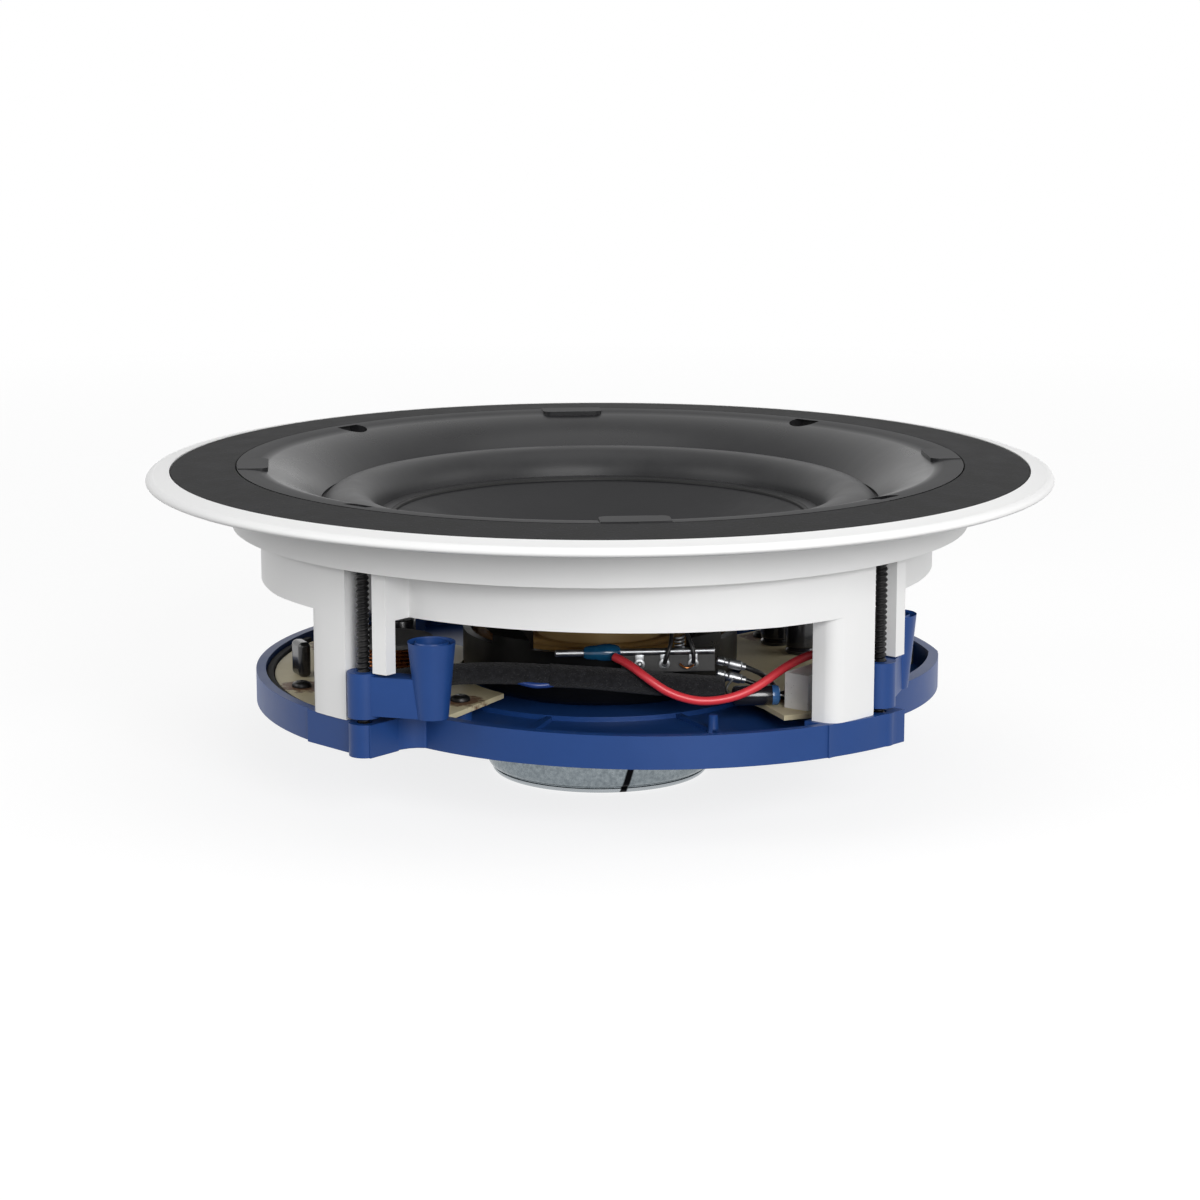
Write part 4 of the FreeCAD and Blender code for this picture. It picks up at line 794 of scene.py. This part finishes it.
def makeBoards(tinned):
    sheet = makeFinish("boardSheet", boardLook["sheet"])
    for x, y in boardLook["screws"]:
        tree = sheet.node_tree
        place = addNode(tree, "ShaderNodeTexCoord").outputs["Object"]
        stain = placeGroup(tree, stainGroup, place, Centre=(x * mm, y * mm, boardLook["top"] * mm),
                           Reach=boardLook["fluxReach"] * mm)
        overlay(sheet, stain.outputs["Mask"], boardLook["flux"])
    for side in ("left", "right"):
        dressNode("crossover_board_" + side, sheet, boardLook["edge"])
    sleeve = makeFinish("capSleeve", boardLook["sleeve"])
    cans, tops, film, end, heads = (bmesh.new() for _ in range(5))
    for x, y in boardLook["cans"]:
        turnProfile(cans, boardLook["canSleeve"], around["sleeve"], place=(x, y, boardLook["top"]))
        turnProfile(tops, boardLook["canTop"], around["sleeve"], place=(x, y, boardLook["top"]))
    standFor(finishMesh(cans, "capacitor_sleeves", sleeve), "electrolytic_capacitors")
    addTo(finishMesh(tops, "capacitor_tops", tinned), "frame")
    turnProfile(film, boardLook["film"], around["film"], alongX, boardLook["filmPlace"])
    standFor(finishMesh(film, "film_capacitor_body", sleeve), "film_capacitor")
    turnProfile(end, boardLook["filmEnd"], around["film"], alongX, boardLook["filmPlace"])
    blueEnd = makeFinish("filmEnd", boardLook["blueEnd"])
    addTo(finishMesh(end, "film_capacitor_end", blueEnd), "frame")
    for index, route in enumerate(boardLook["legs"]):
        leg = makeLead(f"component_leg_{index}", route, boardLook["legRadius"], tinned,
                       sides=leadSides["leg"])
        addTo(leg, "frame")
    dressNode("inductor_core", makeFinish("coreFerrite", boardLook["core"]), boardLook["coreEdge"])
    makeCoil()
    cement = makeFinish("cement", boardLook["cement"])
    dressNode("cement_resistor", cement, boardLook["cementEdge"], fineSteps, sinkTop)
    resin = makeFinish("fuseResin", boardLook["resin"])
    dressNode("fuse", resin, boardLook["fuseEdge"], boardLook["fuseSteps"])
    for x, y in boardLook["screws"]:
        panHead(heads, boardLook["head"], x, y, boardLook["top"])
    standFor(finishMesh(heads, "board_screws_crossed", oxide), "board_screws")


tinnedLook = {"colour": (0.30, 0.31, 0.32), "shade": (0.46, 0.47, 0.48), "cloud": 260, "rough": (0.32, 0.48),
              "grain": 900, "bump": 0.2, "deep": 0.08, "sockets": {"Metallic": 1.0}}
tinned = makeFinish("tinnedMetal", tinnedLook)
makeBoards(tinned)
print("boards dressed")


# fasteners that hold the driver and the rear frame
fixingLook = {
    "head": {"radius": 3.0, "height": 1.8, "cross": 1.5, "slot": 0.42, "deep": 0.9},
    "driverRadius": 95.8, "driverSeat": 85.4,
    "frameOut": 103.6, "frameAside": 13.9, "frameSeat": 26.5,
}


def makeFixings():
    driver = bmesh.new()
    rear = bmesh.new()
    for turn in range(4):
        angle = math.radians(90 * turn)
        radius = fixingLook["driverRadius"]
        panHead(driver, fixingLook["head"], radius * math.cos(angle), radius * math.sin(angle),
                fixingLook["driverSeat"])
        out = angle + math.radians(45)
        x = fixingLook["frameOut"] * math.cos(out) + fixingLook["frameAside"] * math.sin(out)
        y = fixingLook["frameOut"] * math.sin(out) - fixingLook["frameAside"] * math.cos(out)
        panHead(rear, fixingLook["head"], x, y, fixingLook["frameSeat"], -1)
    standFor(finishMesh(driver, "driver_screws_crossed", oxide), "driver_screws")
    standFor(finishMesh(rear, "frame_screws_crossed", oxide), "frame_screws")


makeFixings()
print("fixings dressed")


# wiring in the front window
wiringLook = {
    "tag": {"colour": (0.030, 0.030, 0.031), "shade": (0.055, 0.054, 0.052), "cloud": 160,
            "rough": (0.35, 0.5), "grain": 1400, "bump": 0.2, "deep": 0.05},
    "sleeve": {"colour": (0.008, 0.095, 0.22), "shade": (0.014, 0.14, 0.30), "cloud": 220,
               "rough": (0.12, 0.22), "grain": 900, "bump": 0.1, "deep": 0.05,
               "sockets": {"Transmission Weight": 0.3, "Coat Weight": 0.3}},
    "felt": {"colour": (0.008, 0.008, 0.009), "shade": (0.022, 0.022, 0.025), "cloud": 700,
             "rough": (0.85, 1.0),
             "grain": 2400, "bump": 1.0, "deep": 0.5, "specks": (2600, 0.25, (0.10, 0.10, 0.10)),
             "sockets": {"Sheen Weight": 0.12, "Sheen Roughness": 0.6, "Specular IOR Level": 0.1}},
    "red": {"colour": (0.74, 0.040, 0.056), "shade": (0.80, 0.056, 0.072), "cloud": 120,
            "rough": (0.32, 0.42),
            "grain": 1200, "bump": 0.1, "deep": 0.03, "sockets": {"Specular IOR Level": 0.5}},
    "dark": {"colour": (0.010, 0.010, 0.011), "shade": (0.020, 0.020, 0.021), "cloud": 160,
             "rough": (0.3, 0.45), "grain": 1200, "bump": 0.2, "deep": 0.05},
    "blue": {"colour": (0.016, 0.045, 0.20), "shade": (0.022, 0.060, 0.25), "cloud": 160,
             "rough": (0.3, 0.4), "grain": 1200, "bump": 0.1, "deep": 0.04},
    "feltRoute": [(-78.03, -34.96, 36.8), (-68.01, -43.49, 39), (-54.05, -50.0, 42.2), (-37, -53.6, 43.4),
                  (-19, -55, 42.6), (-1, -55.4, 41), (16, -55.8, 39), (32, -55.6, 38)],
    "feltRadius": 4.0, "feltThick": 6.4, "feltLength": 0.1156, "feltSwell": (0.80, 0.86, 0.78, 0.84, 0.80),
    "wrapRoute": [(-20, -54.9, 42.5), (-10, -55.25, 41.85), (-1, -55.4, 41), (16, -55.8, 39),
                  (30, -55.6, 38.1)],
    "wrapRadius": 3.6, "wrapSwell": (1.0, 0.94, 1.0),
    "redRoute": [(-0.5, -53.8, 47.4), (3, -57.8, 46.4), (8, -61.6, 42.8), (15.5, -63, 37.6), (26, -63.4, 35),
                 (39.02, -62.36, 37.6), (52.77, -56.07, 45.8), (65.03, -50.0, 47.8), (73.45, -43.49, 44),
                 (76.33, -39.98, 38.5), (76.33, -39.98, 32.68)],
    "redRadius": 1.3, "redLength": 0.0999,
    "blueRoute": [(-31, -54.6, 41.4), (-27, -56.6, 40.3), (-22, -57.3, 39.8), (-16, -55.4, 40.4)],
    "blueRadius": 0.9,
    "crimp": [(1.05, 0), (1.5, 0.1), (1.9, 0.8), (2.15, 2), (2.2, 3.8), (2.45, 4.8), (2.6, 6.2), (2.6, 7.8),
              (2.4, 9.3), (1.9, 10.5), (1.35, 11), (1.05, 10.8)],
    "crimpPlace": (-9.5, -49.8, 48),
    "barrel": [(0, 0), (1.1, 0), (1.35, 0.3), (1.35, 2.2), (1.0, 2.6), (1.0, 3.4), (1.5, 3.9), (1.5, 7.4),
               (1.15, 7.8), (1.15, 9), (0, 9)],
    "barrels": [(30.49, -49.8, 45), (30.49, -49.8, 41)], "barrelDip": 15,
    "tails": [[(38.9, -49.8, 42.75), (43, -49.5, 41.2), (47.5, -46.5, 37.5), (49.5, -43.5, 34.4),
               (49.5, -43.5, 32.5)],
              [(38.9, -49.8, 38.75), (42.5, -50.4, 37.6), (45.4, -51.6, 35.6), (46.4, -52, 32.5)]],
    "tailRadius": 0.8,
    "eyelet": [(0.6, -0.1), (0.6, 0.35), (1.0, 0.5), (1.6, 0.35), (1.75, -0.1)],
    "solder": [(0, 0.95), (0.5, 0.85), (0.9, 0.55), (1.1, 0.3)],
    "eyelets": [(7.2, -50.6, 44.3), (14.7, -50.6, 44.3), (23.4, -50.6, 44.3)],
    "lugs": [(7.2, -50.75, 46), (14.7, -50.75, 46), (23.4, -50.75, 46)], "lugSides": (2.6, 0.4, 2.6),
    "lugEdge": 0.15, "tagEdge": 0.2, "bracketEdge": 0.2, "railEdge": 0.3,
    "tinsel": [[(14.7, -51.3, 44.6), (15.4, -53, 47.6), (17.2, -50.4, 52.4), (16.4, -44, 58.5),
                (11, -35.5, 64.2)],
               [(23.4, -51.3, 44.6), (23.6, -52.6, 47.6), (22, -50.6, 52.6), (19, -44, 58.5),
                (14, -34.6, 64.2)]],
    "tinselRadius": 0.62, "tinselStart": (16, -50.4, 50), "tinselEnd": (12, -36, 63),
    "copperEnd": [(23.4, -51.4, 44), (21.9, -52.6, 43.2), (20.3, -52.4, 43.6), (19.4, -51.3, 44.3)],
    "copperRadius": 0.35,
    "knot": {"place": (19.3, -49.8, 49.2), "radius": 1.25, "pitch": 1.1, "turns": 3, "perTurn": 12,
             "wire": 0.36},
}


# small loose coil of wire that stands on the rail
def knotRoute():
    knot = wiringLook["knot"]
    x, y, z = knot["place"]
    route = []
    for step in range(knot["perTurn"] * knot["turns"] + 1):
        angle = math.radians(360 * step / knot["perTurn"])
        route.append((x + knot["radius"] * math.cos(angle), y + knot["radius"] * math.sin(angle),
                      z + knot["pitch"] * step / knot["perTurn"]))
    return route


def makeWiring():
    dark = makeFinish("darkLead", wiringLook["dark"])
    felt = makeFinish("felt", wiringLook["felt"])
    harness = makeLead("felt_harness_soft", wiringLook["feltRoute"], wiringLook["feltRadius"], felt,
                       wiringLook["feltSwell"])
    standFor(harness, "felt_harness")
    wrap = makeLead("felt_wrap", wiringLook["wrapRoute"], wiringLook["wrapRadius"], felt,
                    wiringLook["wrapSwell"])
    addTo(wrap, "frame")
    red = makeFinish("redWire", wiringLook["red"])
    lead = makeLead("red_lead_soft", wiringLook["redRoute"], wiringLook["redRadius"], red)
    standFor(lead, "red_lead")
    blue = makeLead("blue_lead_end", wiringLook["blueRoute"], wiringLook["blueRadius"],
                    makeFinish("blueWire", wiringLook["blue"]))
    addTo(blue, "frame")
    for index, route in enumerate(wiringLook["tails"]):
        tail = makeLead(f"terminal_tail_{index}", route, wiringLook["tailRadius"], dark)
        addTo(tail, "frame")
    for index, route in enumerate(wiringLook["tinsel"]):
        piece = meshLead(f"tinsel_lead_{index}", route, wiringLook["tinselRadius"], dark)
        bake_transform(piece)
    copper = makeFinish("bareCopper", driverLook["copper"])
    thin = leadSides["thin"]
    end = makeLead("copper_end", wiringLook["copperEnd"], wiringLook["copperRadius"], copper, sides=thin)
    addTo(end, "frame")
    knot = makeLead("tinned_knot", knotRoute(), wiringLook["knot"]["wire"], tinned, sides=thin)
    addTo(knot, "frame")


def makeTagStrip():
    dressNode("tag_strip", makeFinish("tagBoard", wiringLook["tag"]), wiringLook["tagEdge"])
    dressNode("tag_bracket", tinned, wiringLook["bracketEdge"])
    dressNode("tag_rail", tinned, wiringLook["railEdge"])
    crimp, barrels, eyelets = (bmesh.new() for _ in range(3))
    closed = wiringLook["crimp"] + wiringLook["crimp"][:1]
    turnProfile(crimp, closed, around["sleeve"], alongX, wiringLook["crimpPlace"])
    sleeve = makeFinish("blueSleeve", wiringLook["sleeve"])
    standFor(finishMesh(crimp, "crimp_sleeve_soft", sleeve), "crimp_sleeve")
    dip = Matrix.Rotation(math.radians(90 + wiringLook["barrelDip"]), 3, "Y")
    for place in wiringLook["barrels"]:
        turnProfile(barrels, wiringLook["barrel"], around["small"], dip, place)
    standFor(finishMesh(barrels, "terminal_barrels", tinned), "push_on_terminals")
    for place, lug in zip(wiringLook["eyelets"], wiringLook["lugs"]):
        turnProfile(eyelets, wiringLook["eyelet"], around["tiny"], towardFront, place)
        turnProfile(eyelets, wiringLook["solder"], around["tiny"], towardFront, place)
        roundBlock(eyelets, wiringLook["lugSides"], wiringLook["lugEdge"], place=lug)
    addTo(finishMesh(eyelets, "tag_eyelets", tinned), "frame")


makeWiring()
makeTagStrip()
print("wiring dressed")


# input terminal under the frame
terminalLook = {
    "black": {"colour": (0.014, 0.014, 0.014), "shade": (0.022, 0.022, 0.022), "cloud": 60,
              "rough": (0.36, 0.46), "grain": 1500, "bump": 0.2, "deep": 0.05},
    "red": {"colour": (0.48, 0.014, 0.014), "shade": (0.58, 0.022, 0.020), "cloud": 60, "rough": (0.3, 0.4),
            "grain": 1500, "bump": 0.1, "deep": 0.04},
    "holeRim": 3.1, "holeDeep": 1.0, "blockEdge": 0.4, "buttonEdge": 0.5,
}


# two shallow wire holes in the outer side of the block, one for each button
def wireHoles(bm):
    everything = list(bm.verts) + list(bm.edges) + list(bm.faces)
    bmesh.ops.bisect_plane(bm, geom=everything, plane_co=(0, 0, 0), plane_no=(1, 0, 0))
    bm.normal_update()
    side = outerFaces(bm, 1)
    bmesh.ops.inset_individual(bm, faces=side, thickness=terminalLook["holeRim"] * mm)
    bmesh.ops.translate(bm, verts=list({vert for face in side for vert in face.verts}),
                        vec=(0, -terminalLook["holeDeep"] * mm, 0))


def makeTerminal():
    black = makeFinish("terminalBlack", terminalLook["black"])
    dressNode("terminal_block", black, terminalLook["blockEdge"], fineSteps, wireHoles)
    buttons = {"red": makeFinish("buttonRed", terminalLook["red"]), "black": black}
    for colour, finish in buttons.items():
        dressNode("terminal_button_" + colour, finish, terminalLook["buttonEdge"], fineSteps)


makeTerminal()
print("terminal dressed")


# pale floor, white surroundings and soft lamps
studio = {
    "floor": {"radius": 2.2, "colour": (0.24, 0.24, 0.24), "glow": 0.80, "fade": (0.35, 1.1),
              "segments": 96, "drop": 0.0002},
    "fill": 0.26,
    "sheen": 0.35,
    "lamps": [
        {"name": "overhead", "place": (0.1, -0.1, 1.5), "aim": (0, 0, 0.05), "size": 1.3, "power": 5},
        {"name": "front", "place": (0.35, -1.65, 0.65), "aim": (0, 0, 0.05), "size": 1.0, "power": 25},
        {"name": "left", "place": (-1.4, -0.4, 0.7), "aim": (0, 0, 0.05), "size": 0.9, "power": 7},
        {"name": "right", "place": (1.4, -0.2, 0.7), "aim": (0, 0, 0.05), "size": 0.9, "power": 5},
    ],
}


def seenDirectly(tree):
    path = addNode(tree, "ShaderNodeLightPath")
    first = math2(tree, "MAXIMUM", path.outputs["Is Camera Ray"], path.outputs["Is Glossy Ray"])
    return math2(tree, "MAXIMUM", first, path.outputs["Is Transmission Ray"])


def makeFloor():
    bm = bmesh.new()
    bmesh.ops.create_circle(bm, cap_ends=True, segments=studio["floor"]["segments"],
                            radius=studio["floor"]["radius"])
    material = bpy.data.materials.new("paleFloor")
    material.use_nodes = True
    tree = material.node_tree
    tree.nodes.remove(tree.nodes["Principled BSDF"])
    matt = addNode(tree, "ShaderNodeBsdfDiffuse")
    matt.inputs["Color"].default_value = (*studio["floor"]["colour"], 1)
    glow = addNode(tree, "ShaderNodeEmission")
    glow.inputs["Color"].default_value = (1, 1, 1, 1)
    strength = math2(tree, "MULTIPLY", seenDirectly(tree), studio["floor"]["glow"])
    tree.links.new(strength, glow.inputs["Strength"])
    both = addNode(tree, "ShaderNodeAddShader")
    tree.links.new(matt.outputs[0], both.inputs[0])
    tree.links.new(glow.outputs[0], both.inputs[1])
    place = addNode(tree, "ShaderNodeTexCoord").outputs["Object"]
    away = addNode(tree, "ShaderNodeVectorMath", operation="LENGTH")
    tree.links.new(place, away.inputs[0])
    fade = mapRange(tree, away.outputs["Value"], *studio["floor"]["fade"], 0, 1)
    clear = addNode(tree, "ShaderNodeBsdfTransparent")
    blend = addNode(tree, "ShaderNodeMixShader")
    tree.links.new(fade, blend.inputs[0])
    tree.links.new(both.outputs[0], blend.inputs[1])
    tree.links.new(clear.outputs[0], blend.inputs[2])
    tree.links.new(blend.outputs[0], tree.nodes["Material Output"].inputs["Surface"])
    floor = finishMesh(bm, "floor", material)
    floor.location.z = -studio["floor"]["drop"]


def makeWorld():
    world = bpy.data.worlds.new("white")
    scene.world = world
    world.use_nodes = True
    tree = world.node_tree
    backdrop = tree.nodes["Background"]
    backdrop.inputs["Color"].default_value = (1, 1, 1, 1)
    level = mapRange(tree, seenDirectly(tree), 0, 1, studio["fill"], 1)
    tree.links.new(level, backdrop.inputs["Strength"])


def makeLamps():
    for lamp in studio["lamps"]:
        data = bpy.data.lights.new(lamp["name"], "AREA")
        data.shape = "DISK"
        data.size = lamp["size"]
        data.energy = lamp["power"]
        data.specular_factor = studio["sheen"]
        light = bpy.data.objects.new(lamp["name"], data)
        scene.collection.objects.link(light)
        light.location = lamp["place"]
        look = Vector(lamp["aim"]) - Vector(lamp["place"])
        light.rotation_euler = look.to_track_quat("-Z", "Y").to_euler()


makeFloor()
makeWorld()
makeLamps()
print("studio lit")
